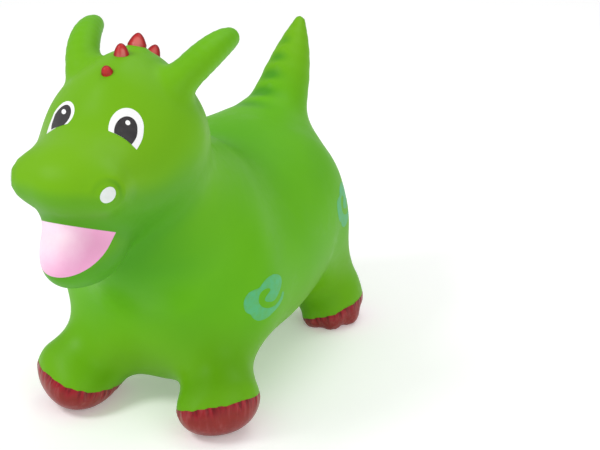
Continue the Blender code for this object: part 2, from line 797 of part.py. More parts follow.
def smile(count):
    """Returns the mouth's outline as pairs of angles seen from the middle of the jaw."""
    points = []
    for step in range(count):
        angle = math.tau * step / count
        out = MOUTH_HALF_WIDTH * math.cos(angle)
        share = abs(math.cos(angle))
        if math.sin(angle) >= 0.0:
            rise = MOUTH_CORNER + (MOUTH_TOP - MOUTH_CORNER) * (1.0 - share ** MOUTH_TOP_CURVE)
        else:
            rise = MOUTH_CORNER + (MOUTH_BOTTOM - MOUTH_CORNER) * (1.0 - share ** MOUTH_BOTTOM_CURVE)
        points.append((out, rise))
    return points


def turned(name, profile, steps, collection):
    """Turns a closed profile of radius and height pairs round the Z axis."""
    mesh = bpy.data.meshes.new(name)
    count = len(profile)
    mesh.from_pydata([(radius, 0.0, height) for radius, height in profile],
                     [(a, a + 1) for a in range(count - 1)], [])
    item = new_object(name, mesh, collection)
    screw = item.modifiers.new("turn", "SCREW")
    screw.steps = steps
    screw.render_steps = steps
    screw.use_merge_vertices = True
    screw.merge_threshold = 0.00001
    settled_mesh(item)
    shape = bmesh.new()
    shape.from_mesh(item.data)
    bmesh.ops.remove_doubles(shape, verts=shape.verts, dist=0.00001)
    bmesh.ops.recalc_face_normals(shape, faces=shape.faces)
    shape.to_mesh(item.data)
    shape.free()
    return item


def finish(item, colour, materials):
    """Gives a piece its material and soft shading."""
    item.data.materials.clear()
    item.data.materials.append(materials[colour])
    item.data.shade_smooth()
    item.data.set_sharp_from_angle(angle=SHARP_ANGLE)


def make_materials():
    """Returns one Principled material for each colour."""
    made = {}
    for name, (colour, roughness) in COLOURS.items():
        material = bpy.data.materials.new(name)
        material.use_nodes = True
        shader = material.node_tree.nodes["Principled BSDF"]
        shader.inputs["Base Color"].default_value = colour
        shader.inputs["Roughness"].default_value = roughness
        shader.inputs["Metallic"].default_value = 0.0
        made[name] = material
    return made


def make_horns(form, outside, parts, tools):
    """Makes the four horns, each seated on the crown."""
    seat = duplicate(outside, "horn_seat", tools)
    seat.hide_render = True
    seat.display_type = "WIRE"
    swell = seat.modifiers.new("clearance", "DISPLACE")
    swell.strength = GAP
    swell.mid_level = 0.0
    settled_mesh(seat)
    horns = []
    for number, (radius, height) in enumerate(zip(HORN_RADII, HORN_HEIGHTS)):
        base = surface_point(form, from_head(), horn_direction(number))
        rise = []
        for share in np.sin(np.linspace(0.0, math.pi / 2, HORN_RINGS)[:-1]):
            narrow = (1.0 - HORN_CONE * share) * math.sqrt(1.0 - share ** HORN_ROUND)
            rise.append((radius * narrow, height * share))
        profile = [(0.0, height)] + rise[::-1] + [(radius, -HORN_SINK), (0.0, -HORN_SINK)]
        horn = turned(f"horn_{number + 1}", profile, HORN_SIDES, parts)
        _, grade = slope(form, np.array([base]))
        up = Vector(grade[0]).normalized()
        lean = up.to_track_quat("Z", "Y").to_matrix().to_4x4()
        horn.data.transform(Matrix.Translation(base) @ lean)
        combine(horn, seat, "DIFFERENCE")
        horns.append(horn)
    return horns


def make_valve(form, trunk_skin, parts, tools):
    """Bores the belly and makes the valve collar and its stopper."""
    belly = surface_point(form, (0.0, VALVE_Y, BARREL_Z), Vector((0.0, 0.0, -1.0)))
    face = belly.z - COLLAR_PROUD
    hole = bmesh.new()
    bmesh.ops.create_cone(hole, cap_ends=True, segments=VALVE_SIDES, radius1=COLLAR_RADIUS + GAP,
                          radius2=COLLAR_RADIUS + GAP, depth=4 * COLLAR_DEPTH,
                          matrix=Matrix.Translation(belly))
    combine(trunk_skin, cutter_object("valve_hole", hole, tools), "DIFFERENCE")
    mouth = PLUG_MOUTH_RADIUS + GAP
    narrow = PLUG_TIP_RADIUS + GAP
    ring = [(COLLAR_RADIUS, COLLAR_DEPTH), (COLLAR_RADIUS, 0.0), (mouth, 0.0),
            (narrow, PLUG_LENGTH), (narrow, COLLAR_DEPTH), (COLLAR_RADIUS, COLLAR_DEPTH)]
    collar = turned("valve_collar", ring, VALVE_SIDES, parts)
    collar.data.transform(Matrix.Translation((0.0, VALVE_Y, face)))
    head_top = -GAP
    head_low = head_top - PLUG_HEAD_THICKNESS
    stopper = [(0.0, PLUG_LENGTH), (PLUG_TIP_RADIUS - PLUG_CHAMFER, PLUG_LENGTH),
               (PLUG_TIP_RADIUS, PLUG_LENGTH - PLUG_CHAMFER), (PLUG_MOUTH_RADIUS, head_top),
               (PLUG_HEAD_RADIUS - PLUG_CHAMFER, head_top), (PLUG_HEAD_RADIUS, head_top - PLUG_CHAMFER),
               (PLUG_HEAD_RADIUS, head_low + PLUG_CHAMFER), (PLUG_HEAD_RADIUS - PLUG_CHAMFER, head_low),
               (0.0, head_low)]
    plug = turned("valve_plug", stopper, VALVE_SIDES, parts)
    plug.location = (0.0, VALVE_Y, face)
    return collar, plug


def build():
    """Models the whole animal."""
    for item in list(bpy.data.objects):
        bpy.data.objects.remove(item)
    parts = bpy.data.collections.new("bouncy_ride_on_animal")
    tools = bpy.data.collections.new("cutters")
    for collection in (parts, tools):
        bpy.context.scene.collection.children.link(collection)
    materials = make_materials()
    form = animal()
    skin = grow("trunk", form, 0.0, OUTSIDE_TRIANGLES, parts)
    horns = make_horns(form, skin, parts, tools)
    inside = grow("air_space", form, WALL, INSIDE_TRIANGLES, tools)
    hollow(skin, inside)
    bpy.data.objects.remove(inside)

    for side, word in ((1, "left"), (-1, "right")):
        cutters = ball_cutters(f"ear_{word}", ear_tip(side), EAR_LENGTH_FREE, tools)
        finish(part_off(skin, cutters, f"ear_{word}", parts), "green", materials)
    cutters = ball_cutters("tail", tuple(tail_point(1.0)), TAIL_LENGTH_FREE, tools)
    finish(part_off(skin, cutters, "tail", parts), "green", materials)

    front = ("front", FRONT_FOOT_X, FRONT_FOOT_Y,
             FRONT_PAINT_HEIGHT, FRONT_PAINT_OUTWARD, FRONT_PAINT_FORWARD)
    rear = ("rear", REAR_FOOT_X, REAR_FOOT_Y, REAR_PAINT_HEIGHT, REAR_PAINT_OUTWARD, 0.0)
    for side, word in ((1, "left"), (-1, "right")):
        for end, foot_x, foot_y, height, outward, forward in (front, rear):
            name = f"{end}_{word}"
            place = (side * foot_x, foot_y, height)
            cutters = ball_cutters(f"leg_{name}", place, LEG_PARTING_RADIUS, tools)
            leg = part_off(skin, cutters, f"leg_{name}", parts)
            slabs = slab_cutters(f"foot_{name}", place, outward, forward, side, tools)
            foot = part_off(leg, slabs, f"foot_{name}", parts)
            finish(leg, "green", materials)
            finish(foot, "red", materials)

    centre = from_head(back=-NECK_PARTING_FORWARD, up=-NECK_PARTING_DOWN)
    face = part_off(skin, ball_cutters("neck", centre, NECK_PARTING_RADIUS, tools), "head", parts)
    for side, word in ((1, "left"), (-1, "right")):
        light = eye_outline(EYE_HALF_WIDTH, EYE_RISE, EYE_TIP_DOWN)
        spots = on_skin(form, from_head(), EYE_OUT, EYE_UP, side, light)
        white = part_off(face, cone_cutters(f"eye_{word}", from_head(), spots, tools),
                         f"eye_white_{word}", parts)
        dark = eye_outline(PUPIL_HALF_WIDTH, PUPIL_RISE, PUPIL_TIP_DOWN, PUPIL_INWARD, PUPIL_OVERCUT)
        spots = on_skin(form, from_head(), EYE_OUT, EYE_UP, side, dark)
        black = part_off(white, cone_cutters(f"pupil_{word}", from_head(), spots, tools),
                         f"pupil_{word}", parts)
        oval_spot = oval(NOSTRIL_SPOT_HALF_WIDTH, NOSTRIL_SPOT_HALF_HEIGHT, NOSTRIL_SPOT_LEAN, NOSTRIL_STEPS)
        outward = NOSTRIL_SPOT_OUT if side > 0 else NOSTRIL_SPOT_RIGHT_OUT
        spots = on_skin(form, nostril_centre(side), outward, NOSTRIL_SPOT_UP, side, oval_spot)
        spot = part_off(face, cone_cutters(f"nostril_{word}", nostril_centre(side), spots, tools),
                        f"nostril_{word}", parts)
        finish(white, "white", materials)
        finish(black, "black", materials)
        finish(spot, "white", materials)
    spots = [surface_point(form, jaw_centre(), looking(out, up)) for out, up in smile(MOUTH_STEPS)]
    mouth = part_off(face, cone_cutters("mouth", jaw_centre(), spots, tools), "mouth", parts)
    finish(mouth, "pink", materials)
    finish(face, "green", materials)

    collar, plug = make_valve(form, skin, parts, tools)
    finish(skin, "green", materials)
    finish(collar, "valve_green", materials)
    finish(plug, "plug_white", materials)
    for horn in horns:
        finish(horn, "horn_red", materials)


build()
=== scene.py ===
"""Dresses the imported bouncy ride-on animal for its picture.

The toy is one moulded PVC skin blown up like a ball, so the skin is made here as one
closed, fine form that takes the place of the solids it is told apart into. The printed
eyes, nostrils, mouth, red feet and swirls are thin films of paint on it, and the horns,
the valve collar and the stopper are pieces of their own.
"""
import sys
import logging
import math
from abc import ABC, abstractmethod
from collections.abc import Callable, Sequence
from dataclasses import dataclass
from enum import Enum

import bmesh
import bpy
import numpy as np
from mathutils import Matrix, Vector
from mathutils.bvhtree import BVHTree


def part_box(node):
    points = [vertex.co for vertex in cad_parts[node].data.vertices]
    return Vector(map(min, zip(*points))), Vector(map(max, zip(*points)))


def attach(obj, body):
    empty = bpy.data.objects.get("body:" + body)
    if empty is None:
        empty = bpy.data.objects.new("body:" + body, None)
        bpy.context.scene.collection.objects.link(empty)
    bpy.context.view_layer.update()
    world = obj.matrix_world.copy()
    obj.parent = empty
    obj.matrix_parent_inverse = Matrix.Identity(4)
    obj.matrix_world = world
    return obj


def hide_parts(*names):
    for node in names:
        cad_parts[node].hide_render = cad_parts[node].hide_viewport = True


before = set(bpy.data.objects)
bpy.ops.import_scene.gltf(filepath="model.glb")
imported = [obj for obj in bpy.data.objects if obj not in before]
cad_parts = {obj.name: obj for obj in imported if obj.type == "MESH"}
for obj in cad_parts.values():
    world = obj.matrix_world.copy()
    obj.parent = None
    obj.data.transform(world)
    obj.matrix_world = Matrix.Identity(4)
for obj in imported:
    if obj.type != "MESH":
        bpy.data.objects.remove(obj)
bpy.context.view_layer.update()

LOG = logging.getLogger("ride_on_animal")
Colour = tuple[float, float, float, float]
Outline = list[tuple[float, float]]
# Floors that keep a division or a root away from nought.
TINY = 1e-9
SMALL = 1e-6
# How finely a coarse ball is divided, and how near two points are one, in metres.
BALL_SUBDIVISIONS = 3
MERGE_DISTANCE = 0.00002


class Side(Enum):
    """The animal's two sides."""

    LEFT = 1
    RIGHT = -1

    @property
    def word(self) -> str:
        """Returns the side's word in a piece's name."""
        return self.name.lower()


class Layer(Enum):
    """How far a film of paint stands off the skin, in metres."""

    FIRST = 0.00018
    SECOND = 0.00032
    THIRD = 0.00044


# Forms that the skin is laid on.


class Form(ABC):
    """A rounded volume that the skin can be laid on."""

    @abstractmethod
    def distance(self, points: np.ndarray) -> np.ndarray:
        """Returns the signed distance of each point, close to true near the surface."""

    @abstractmethod
    def add_to(self, mesh: bmesh.types.BMesh) -> None:
        """Adds the form's primitives to a bmesh."""


@dataclass(frozen=True)
class Ball(Form):
    """An ellipsoid with its axes along X, Y and Z."""

    centre: tuple[float, float, float]
    half: tuple[float, float, float]

    def distance(self, points: np.ndarray) -> np.ndarray:
        """Measures how far points are from the ball.

        Args:
            points: The places, one to a row.

        Returns:
            The signed distance of each, close to true near the surface.
        """
        offset = points - np.array(self.centre)
        half = np.array(self.half)
        near = np.sqrt(((offset / half) ** 2).sum(axis=1)) + TINY
        steep = np.sqrt(((offset / half ** 2) ** 2).sum(axis=1)) + TINY
        return near * (near - 1.0) / steep

    def add_to(self, mesh: bmesh.types.BMesh) -> None:
        """Adds the ball's primitive to a bmesh."""
        place = Matrix.Translation(self.centre) @ Matrix.Diagonal((*self.half, 1.0))
        bmesh.ops.create_icosphere(mesh, subdivisions=BALL_SUBDIVISIONS, radius=1.0, matrix=place)


@dataclass(frozen=True)
class Limb(Form):
    """A round tapered limb between two spheres."""

    start: tuple[float, float, float]
    end: tuple[float, float, float]
    start_radius: float
    end_radius: float

    def distance(self, points: np.ndarray) -> np.ndarray:
        """Measures how far points are from the limb.

        Args:
            points: The places, one to a row.

        Returns:
            The signed distance of each.
        """
        start = np.array(self.start)
        along = np.array(self.end) - start
        length = float(np.linalg.norm(along))
        along = along / length
        offset = points - start
        reach = offset @ along
        off_axis = np.sqrt(np.maximum((offset ** 2).sum(axis=1) - reach ** 2, 0.0))
        lean = (self.start_radius - self.end_radius) / length
        upright = math.sqrt(max(1.0 - lean * lean, SMALL))
        foot = np.clip(reach - off_axis * lean / upright, 0.0, length)
        return np.hypot(off_axis, reach - foot) - (self.start_radius - lean * foot)

    def add_to(self, mesh: bmesh.types.BMesh) -> None:
        """Adds the hull of the limb's two end spheres to a bmesh.

        Args:
            mesh: The bmesh that takes the hull.
        """
        hull = bmesh.new()
        for centre, radius in ((self.start, self.start_radius), (self.end, self.end_radius)):
            bmesh.ops.create_icosphere(hull, subdivisions=BALL_SUBDIVISIONS, radius=radius,
                                       matrix=Matrix.Translation(centre))
        made = bmesh.ops.convex_hull(hull, input=hull.verts)
        spare = {item for item in made["geom_interior"] + made["geom_unused"]
                 if isinstance(item, bmesh.types.BMVert)}
        bmesh.ops.delete(hull, geom=list(spare), context="VERTS")
        copy = bpy.data.meshes.new("limb_hull")
        hull.to_mesh(copy)
        hull.free()
        mesh.from_mesh(copy)
        bpy.data.meshes.remove(copy)


@dataclass(frozen=True)
class Blend(Form):
    """Forms that flow into each other over a given width."""

    width: float
    forms: tuple[Form, ...]

    def distance(self, points: np.ndarray) -> np.ndarray:
        """Measures how far points are from the blended surface.

        Args:
            points: The places, one to a row.

        Returns:
            The signed distance of each.
        """
        total = self.forms[0].distance(points)
        for form in self.forms[1:]:
            other = form.distance(points)
            overlap = np.maximum(self.width - np.abs(total - other), 0.0)
            total = np.minimum(total, other) - overlap ** 2 / (4.0 * self.width)
        return total

    def add_to(self, mesh: bmesh.types.BMesh) -> None:
        """Adds every blended form's primitives to a bmesh."""
        for form in self.forms:
            form.add_to(mesh)


def between(start: Sequence[float], end: Sequence[float], share: float) -> Vector:
    """Returns the place at a share of the way from start to end."""
    return Vector(start).lerp(Vector(end), share)


def looking(out: float, up: float, side: Side = Side.LEFT) -> Vector:
    """Returns the direction turned outwards from -Y and then up, angles in radians."""
    level = math.cos(up)
    return Vector((side.value * math.sin(out) * level, -math.cos(out) * level, math.sin(up)))


@dataclass(frozen=True)
class Trunk:
    """The trunk: chest, barrel, rump and withers, in metres."""

    chest: Ball = Ball((0.0, -0.070, 0.160), (0.134, 0.076, 0.132))
    barrel: Ball = Ball((0.0, 0.047, 0.153), (0.144, 0.158, 0.124))
    rump: Ball = Ball((0.0, 0.173, 0.171), (0.129, 0.117, 0.119))
    withers: Ball = Ball((0.0, -0.063, 0.250), (0.085, 0.110, 0.090))
    blend: float = 0.070

    def form(self) -> Form:
        """Returns the trunk's form."""
        return Blend(self.blend, (self.chest, self.barrel, self.rump, self.withers))


@dataclass(frozen=True)
class Head:
    """The head, placed by the middle of the skull, with offsets out, back and up in metres."""

    centre_y: float = -0.179
    centre_z: float = 0.381
    skull_half: tuple[float, float, float] = (0.091, 0.074, 0.080)
    crown_at: tuple[float, float, float] = (0.0, 0.016, 0.035)
    crown_half: tuple[float, float, float] = (0.034, 0.070, 0.057)
    neck_base: tuple[float, float, float] = (0.0, -0.117, 0.248)
    neck_base_radius: float = 0.088
    neck_top_at: tuple[float, float, float] = (0.0, 0.036, -0.026)
    neck_top_radius: float = 0.083
    blend: float = 0.047
    bridge_at: tuple[float, float, float] = (0.0, -0.064, -0.030)
    bridge_half: tuple[float, float, float] = (0.077, 0.077, 0.0555)
    muzzle_at: tuple[float, float, float] = (0.0, -0.115, -0.010)
    muzzle_half: tuple[float, float, float] = (0.065, 0.059, 0.0415)
    face_blend: float = 0.033
    nostril_at: tuple[float, float, float] = (0.0485, -0.135, -0.012)
    nostril_radius: float = 0.019
    nostril_blend: float = 0.021
    jaw_at: tuple[float, float, float] = (0.0, -0.090, -0.083)
    jaw_half: tuple[float, float, float] = (0.048, 0.0535, 0.061)
    chin_at: tuple[float, float, float] = (0.0, -0.134, -0.100)
    chin_half: tuple[float, float, float] = (0.031, 0.041, 0.033)
    lip_blend: float = 0.020
    snout_blend: float = 0.049
    horn_angles: tuple[float, ...] = (-21.0, 1.8, 24.0, 49.0)
    mound_horn: int = 2
    mound_radius: float = 0.0135
    mound_rise: float = 0.0035
    mound_blend: float = 0.010
    ray_length: float = 0.25
    halvings: int = 30

    def place(self, out: float = 0.0, back: float = 0.0, up: float = 0.0) -> tuple[float, float, float]:
        """Returns a place set off from the middle of the skull."""
        return (out, self.centre_y + back, self.centre_z + up)

    def nostril(self, side: Side) -> Vector:
        """Returns the middle of one nostril's bump."""
        out, back, up = self.nostril_at
        return Vector(self.place(side.value * out, back, up))

    def jaw(self) -> Vector:
        """Returns the middle of the lower jaw."""
        return Vector(self.place(*self.jaw_at))

    def horn_direction(self, number: int) -> Vector:
        """Returns the way from the middle of the skull to a horn."""
        turn = math.radians(self.horn_angles[number])
        return Vector((0.0, math.sin(turn), math.cos(turn)))

    def snout(self) -> Form:
        """Joins the bridge, the muzzle with its nostril bumps, and the jaw under it.

        Returns:
            The snout's form.
        """
        bumps = tuple(Ball(tuple(self.nostril(side)), (self.nostril_radius,) * 3) for side in Side)
        bridge = Ball(self.place(*self.bridge_at), self.bridge_half)
        muzzle = Ball(self.place(*self.muzzle_at), self.muzzle_half)
        jaw = Ball(tuple(self.jaw()), self.jaw_half)
        chin = Ball(self.place(*self.chin_at), self.chin_half)
        face = Blend(self.nostril_blend, (Blend(self.face_blend, (bridge, muzzle)), *bumps))
        return Blend(self.lip_blend, (face, Blend(self.face_blend, (jaw, chin))))

    def surface_point(self, form: Form, direction: Vector) -> Vector:
        """Returns where a ray from the middle of the skull leaves a form.

        Args:
            form: The form that the ray starts inside.
            direction: The ray's direction.

        Returns:
            The place on the form's surface.
        """
        low, high = 0.0, self.ray_length
        for _ in range(self.halvings):
            middle = (low + high) / 2
            inside = form.distance(np.array([Vector(self.place()) + direction * middle]))[0] < 0.0
            low, high = (middle, high) if inside else (low, middle)
        return Vector(self.place()) + direction * high

    def form(self) -> Form:
        """Joins the head without its ears, and with the mound under the largest horn.

        Returns:
            The head's form.
        """
        skull = Ball(self.place(), self.skull_half)
        crown = Ball(self.place(*self.crown_at), self.crown_half)
        neck_top = self.place(*self.neck_top_at)
        neck = Limb(self.neck_base, neck_top, self.neck_base_radius, self.neck_top_radius)
        bare = Blend(self.snout_blend, (Blend(self.blend, (skull, crown, neck)), self.snout()))
        upward = self.horn_direction(self.mound_horn)
        seat = self.surface_point(bare, upward)
        middle = seat + upward * (self.mound_rise - self.mound_radius)
        mound = Ball(tuple(middle), (self.mound_radius,) * 3)
        return Blend(self.mound_blend, (bare, mound))


@dataclass(frozen=True)
class Ears:
    """The two ears that the rider holds, set off from the middle of the skull, in metres."""

    root_at: tuple[float, float, float] = (0.063, 0.025, 0.067)
    root_radius: float = 0.0193
    tip_at: tuple[float, float, float] = (0.0885, 0.1045, 0.0975)
    tip_radius: float = 0.0126
    right_droop: float = 0.0055
    bow_out: float = 0.004
    bow_up: float = 0.007
    swell: float = 0.0022
    lengths: int = 8
    chain_blend: float = 0.002
    blend: float = 0.020

    def form(self, head: Head, side: Side) -> Form:
        """Returns one ear's form.

        Args:
            head: The head that carries the ear.
            side: The ear's side.

        Returns:
            A chain of limbs, bowed and swollen a little between root and tip.
        """
        root = head.place(side.value * self.root_at[0], *self.root_at[1:])
        droop = self.right_droop if side is Side.RIGHT else 0.0
        tip = head.place(side.value * self.tip_at[0], self.tip_at[1], self.tip_at[2] - droop)
        stations = []
        for number in range(self.lengths + 1):
            share = number / self.lengths
            # A parabola that is 1 halfway and 0 at both ends.
            middle = 4.0 * share * (1.0 - share)
            place = between(root, tip, share) + middle * Vector((side.value * self.bow_out, 0.0, self.bow_up))
            radius = self.root_radius + share * (self.tip_radius - self.root_radius) + middle * self.swell
            stations.append((tuple(place), radius))
        limbs = tuple(Limb(low[0], high[0], low[1], high[1]) for low, high in zip(stations, stations[1:]))
        return Blend(self.chain_blend, limbs)


@dataclass(frozen=True)
class Tail:
    """The tail, which rises back to a point, with ribs that fall away from its twisted crest, in metres."""

    root: tuple[float, float, float] = (0.0, 0.2385, 0.236)
    tip: tuple[float, float, float] = (0.0, 0.3505, 0.3696)
    shares: tuple[float, ...] = (0.0, 0.20, 0.37, 0.50, 0.62, 0.72, 0.82, 0.90, 0.96, 1.0)
    radii: tuple[float, ...] = (
        0.0520, 0.0415, 0.0352, 0.0315, 0.0270, 0.0226, 0.0172, 0.0122, 0.0084, 0.0060)
    bow: float = 0.0025
    twist: float = math.radians(9.5)
    blend: float = 0.001
    rib_count: int = 5
    rib_first_share: float = 0.215
    rib_step_share: float = 0.160
    rib_radii: tuple[float, float] = (0.0056, 0.0032)
    rib_proud: float = 0.0010
    rib_sink: float = 0.0025
    rib_taper: float = 0.5
    rib_angle: float = math.radians(46)
    rib_fall: float = 0.018
    rib_blend: float = 0.0038
    groove_depth: float = 0.0023
    groove_aside: float = -0.20
    groove_spread: float = 0.55
    groove_ends_short: float = 0.1
    groove_reach: float = 1.5

    def radius(self, share: float) -> float:
        """Returns the tail's radius at a share of its length."""
        return float(np.interp(share, self.shares, self.radii))

    def middle(self, share: float) -> Vector:
        """Returns the place of the tail's bowed middle line at a share of its length."""
        return between(self.root, self.tip, share) + Vector((self.bow * math.sin(math.pi * share), 0.0, 0.0))

    def axes(self) -> tuple[Vector, Vector, Vector]:
        """Finds the tail's own directions.

        Returns:
            The ways along the tail, across it, and out to its twisted crest.
        """
        along = (Vector(self.tip) - Vector(self.root)).normalized()
        across = Matrix.Rotation(-self.twist, 3, along) @ Vector((1.0, 0.0, 0.0))
        return along, across, across.cross(along)

    def groove(self, points: np.ndarray) -> np.ndarray:
        """Sinks the skin between the ribs, deepest beside the crest.

        Args:
            points: The places, one to a row.

        Returns:
            How far each point sinks.
        """
        along, across, crest = (np.array(way) for way in self.axes())
        length = (Vector(self.tip) - Vector(self.root)).length
        offset = points - np.array(self.root)
        share = offset @ along / length
        offset[:, 0] -= self.bow * np.sin(math.pi * np.clip(share, 0.0, 1.0))
        angle = np.arctan2(offset @ across, offset @ crest)
        ribs = (share - self.rib_first_share) / self.rib_step_share
        wave = 0.5 - 0.5 * np.cos(math.tau * ribs)
        last = self.rib_count - self.groove_ends_short
        ends = np.clip(ribs + 1.0, 0.0, 1.0) * np.clip(last - ribs, 0.0, 1.0)
        thick = np.interp(share, self.shares, self.radii) / self.radii[2]
        inside = np.hypot(offset @ across, offset @ crest) < self.groove_reach * thick * self.radii[2]
        window = np.exp(-((angle - self.groove_aside) / self.groove_spread) ** 2) * ends * inside
        return self.groove_depth * wave * window * np.minimum(thick, 1.0)

    def rib(self, number: int, side: Side) -> Limb:
        """Returns one rib on a side of the tail, which falls away from the crest towards the root.

        Args:
            number: The rib's number, from the root.
            side: The side that it lies on.

        Returns:
            The rib as a thin limb.
        """
        share = self.rib_first_share + number * self.rib_step_share
        length = (Vector(self.tip) - Vector(self.root)).length
        fall = self.rib_fall / length * self.radius(share) / self.radii[0]
        _, across, crest = self.axes()
        first, last = self.rib_radii
        radius = first + (last - first) * number / (self.rib_count - 1)
        thin = radius * self.rib_taper
        high = self.radius(share) + self.rib_proud * radius / first - radius
        deep = self.radius(share - fall) - thin - self.rib_sink
        slope = crest * math.cos(self.rib_angle) + across * side.value * math.sin(self.rib_angle)
        start = self.middle(share) + crest * high
        end = self.middle(share - fall) + slope * deep
        return Limb(tuple(start), tuple(end), radius, thin)

    def form(self) -> Form:
        """Joins the tail and its ribs.

        Returns:
            The tail's form.
        """
        stations = [(tuple(self.middle(share)), self.radius(share)) for share in self.shares]
        limbs = tuple(Limb(low[0], high[0], low[1], high[1]) for low, high in zip(stations, stations[1:]))
        ribs = tuple(self.rib(number, side) for number in range(self.rib_count) for side in Side)
        return Blend(self.rib_blend, (Blend(self.blend, limbs), *ribs))


@dataclass(frozen=True)
class Leg:
    """One leg on its foot, in metres, and the line down to which its foot is painted."""

    name: str
    foot_x: float
    foot_y: float
    foot_half: tuple[float, float, float]
    ankle_at: tuple[float, float, float]
    ankle_radius: float
    top_at: tuple[float, float, float]
    top_radius: float
    paint_height: float
    paint_outward: float
    paint_forward: float
    toe_count: int = 0
    toe_radius: float = 0.0165
    toe_proud: float = 0.0016
    toe_spread: float = math.radians(50)
    toe_turn: float = math.radians(30)
    toe_blend: float = 0.007
    blend: float = 0.027
    sink: float = 0.003

    def toe(self, side: Side, number: int) -> Ball:
        """Places one toe on the edge that looks forwards and outwards.

        Args:
            side: The leg's side.
            number: The toe's number, from the front.

        Returns:
            The toe as a ball.
        """
        turn = self.toe_turn + (number - (self.toe_count - 1) / 2) * self.toe_spread
        out = math.sin(turn) * (self.foot_half[0] + self.toe_proud - self.toe_radius)
        forward = math.cos(turn) * (self.foot_half[1] + self.toe_proud - self.toe_radius)
        centre = (side.value * (self.foot_x + out), self.foot_y - forward, self.toe_radius - self.sink)
        return Ball(centre, (self.toe_radius,) * 3)

    def form(self, side: Side) -> Form:
        """Joins the leg, its foot and its toes.

        Args:
            side: The leg's side.

        Returns:
            The leg's form.
        """
        top, ankle = ((side.value * (self.foot_x + out), self.foot_y + back, up)
                      for out, back, up in (self.top_at, self.ankle_at))
        foot = Ball((side.value * self.foot_x, self.foot_y, self.foot_half[2] - self.sink), self.foot_half)
        leg = Blend(self.blend, (Limb(top, ankle, self.top_radius, self.ankle_radius), foot))
        toes = tuple(self.toe(side, number) for number in range(self.toe_count))
        return Blend(self.toe_blend, (leg, *toes)) if toes else leg

    def paint_place(self, side: Side) -> Matrix:
        """Places the tilted plane that the foot is painted up to.

        Args:
            side: The leg's side.

        Returns:
            The plane's place and tilt.
        """
        tilt = Matrix.Rotation(-side.value * self.paint_outward, 4, "Y")
        tilt = tilt @ Matrix.Rotation(-self.paint_forward, 4, "X")
        return Matrix.Translation((side.value * self.foot_x, self.foot_y, self.paint_height)) @ tilt


FRONT_LEG = Leg("front", 0.0875, -0.128, (0.0405, 0.0635, 0.036), (0.023, -0.006, 0.045), 0.036,
                (-0.0265, 0.040, 0.092), 0.033, 0.036, math.radians(15), math.radians(9))
REAR_LEG = Leg("rear", 0.099, 0.218, (0.0410, 0.0465, 0.029), (-0.002, 0.006, 0.053), 0.035,
               (-0.032, -0.024, 0.126), 0.053, 0.0225, math.radians(16), math.radians(-5), toe_count=3)


# Helpers for meshes.


def new_object(name: str, mesh: bpy.types.Mesh) -> bpy.types.Object:
    """Links a new object to the scene.

    Args:
        name: The object's name.
        mesh: Its mesh.

    Returns:
        The object.
    """
    made = bpy.data.objects.new(name, mesh)
    bpy.context.scene.collection.objects.link(made)
    return made


def from_bmesh(name: str, shape: bmesh.types.BMesh) -> bpy.types.Object:
    """Makes an object from a bmesh and frees the bmesh.

    Args:
        name: The object's name.
        shape: The bmesh, which is used up.

    Returns:
        The object.
    """
    mesh = bpy.data.meshes.new(name)
    shape.to_mesh(mesh)
    shape.free()
    return new_object(name, mesh)


def face_outwards(shape: bmesh.types.BMesh) -> None:
    """Turns a closed body's faces outwards, by its volume where its caps are far from flat.

    Args:
        shape: The body.
    """
    bmesh.ops.recalc_face_normals(shape, faces=shape.faces)
    if shape.calc_volume(signed=True) < 0.0:
        bmesh.ops.reverse_faces(shape, faces=shape.faces)


def settled(item: bpy.types.Object) -> bpy.types.Object:
    """Puts an object's evaluated mesh in place of its own and drops its modifiers.

    Args:
        item: The object.

    Returns:
        The same object.
    """
    graph = bpy.context.evaluated_depsgraph_get()
    mesh = bpy.data.meshes.new_from_object(item.evaluated_get(graph))
    old = item.data
    item.modifiers.clear()
    item.data = mesh
    bpy.data.meshes.remove(old)
    return item


def drop(item: bpy.types.Object) -> None:
    """Removes an object and its mesh.

    Args:
        item: The object.
    """
    mesh = item.data
    bpy.data.objects.remove(item)
    bpy.data.meshes.remove(mesh)


def vectors(source: bpy.types.bpy_prop_collection, name: str) -> np.ndarray:
    """Reads a three-part property of a mesh's items.

    Args:
        source: The items, such as a mesh's vertices.
        name: The property's name.

    Returns:
        The property as an array with one item to a row.
    """
    flat = np.empty(len(source) * 3)
    source.foreach_get(name, flat)
    return flat.reshape(-1, 3)


def place_vertices(mesh: bpy.types.Mesh, points: np.ndarray) -> None:
    """Moves a mesh's vertices to new places."""
    mesh.vertices.foreach_set("co", points.ravel())
    mesh.update()


def dress(item: bpy.types.Object, material: bpy.types.Material, angle: float = 40.0) -> bpy.types.Object:
    """Gives a piece its material and its shading.

    Args:
        item: The piece.
        material: Its finish.
        angle: The angle in degrees past which an edge is sharp.

    Returns:
        The piece.
    """
    item.data.materials.clear()
    item.data.materials.append(material)
    item.data.shade_smooth()
    item.data.set_sharp_from_angle(angle=math.radians(angle))
    return item


def spun(profile: Sequence[tuple[float, float]], steps: int) -> bmesh.types.BMesh:
    """Spins a profile round the Z axis into a closed body.

    Args:
        profile: Pairs of radius and height, from one pole or round a ring.
        steps: How many steps a full turn has.

    Returns:
        The body as a bmesh, its faces pointing outwards.
    """
    shape = bmesh.new()
    dots = [shape.verts.new((radius, 0.0, height)) for radius, height in profile]
    for low, high in zip(dots, dots[1:]):
        shape.edges.new((low, high))
    bmesh.ops.spin(shape, geom=[*shape.verts, *shape.edges], cent=(0.0, 0.0, 0.0), axis=(0.0, 0.0, 1.0),
                   angle=math.tau, steps=steps, use_merge=True)
    bmesh.ops.remove_doubles(shape, verts=shape.verts, dist=MERGE_DISTANCE)
    bmesh.ops.recalc_face_normals(shape, faces=shape.faces)
    return shape


# Relief of the skin.


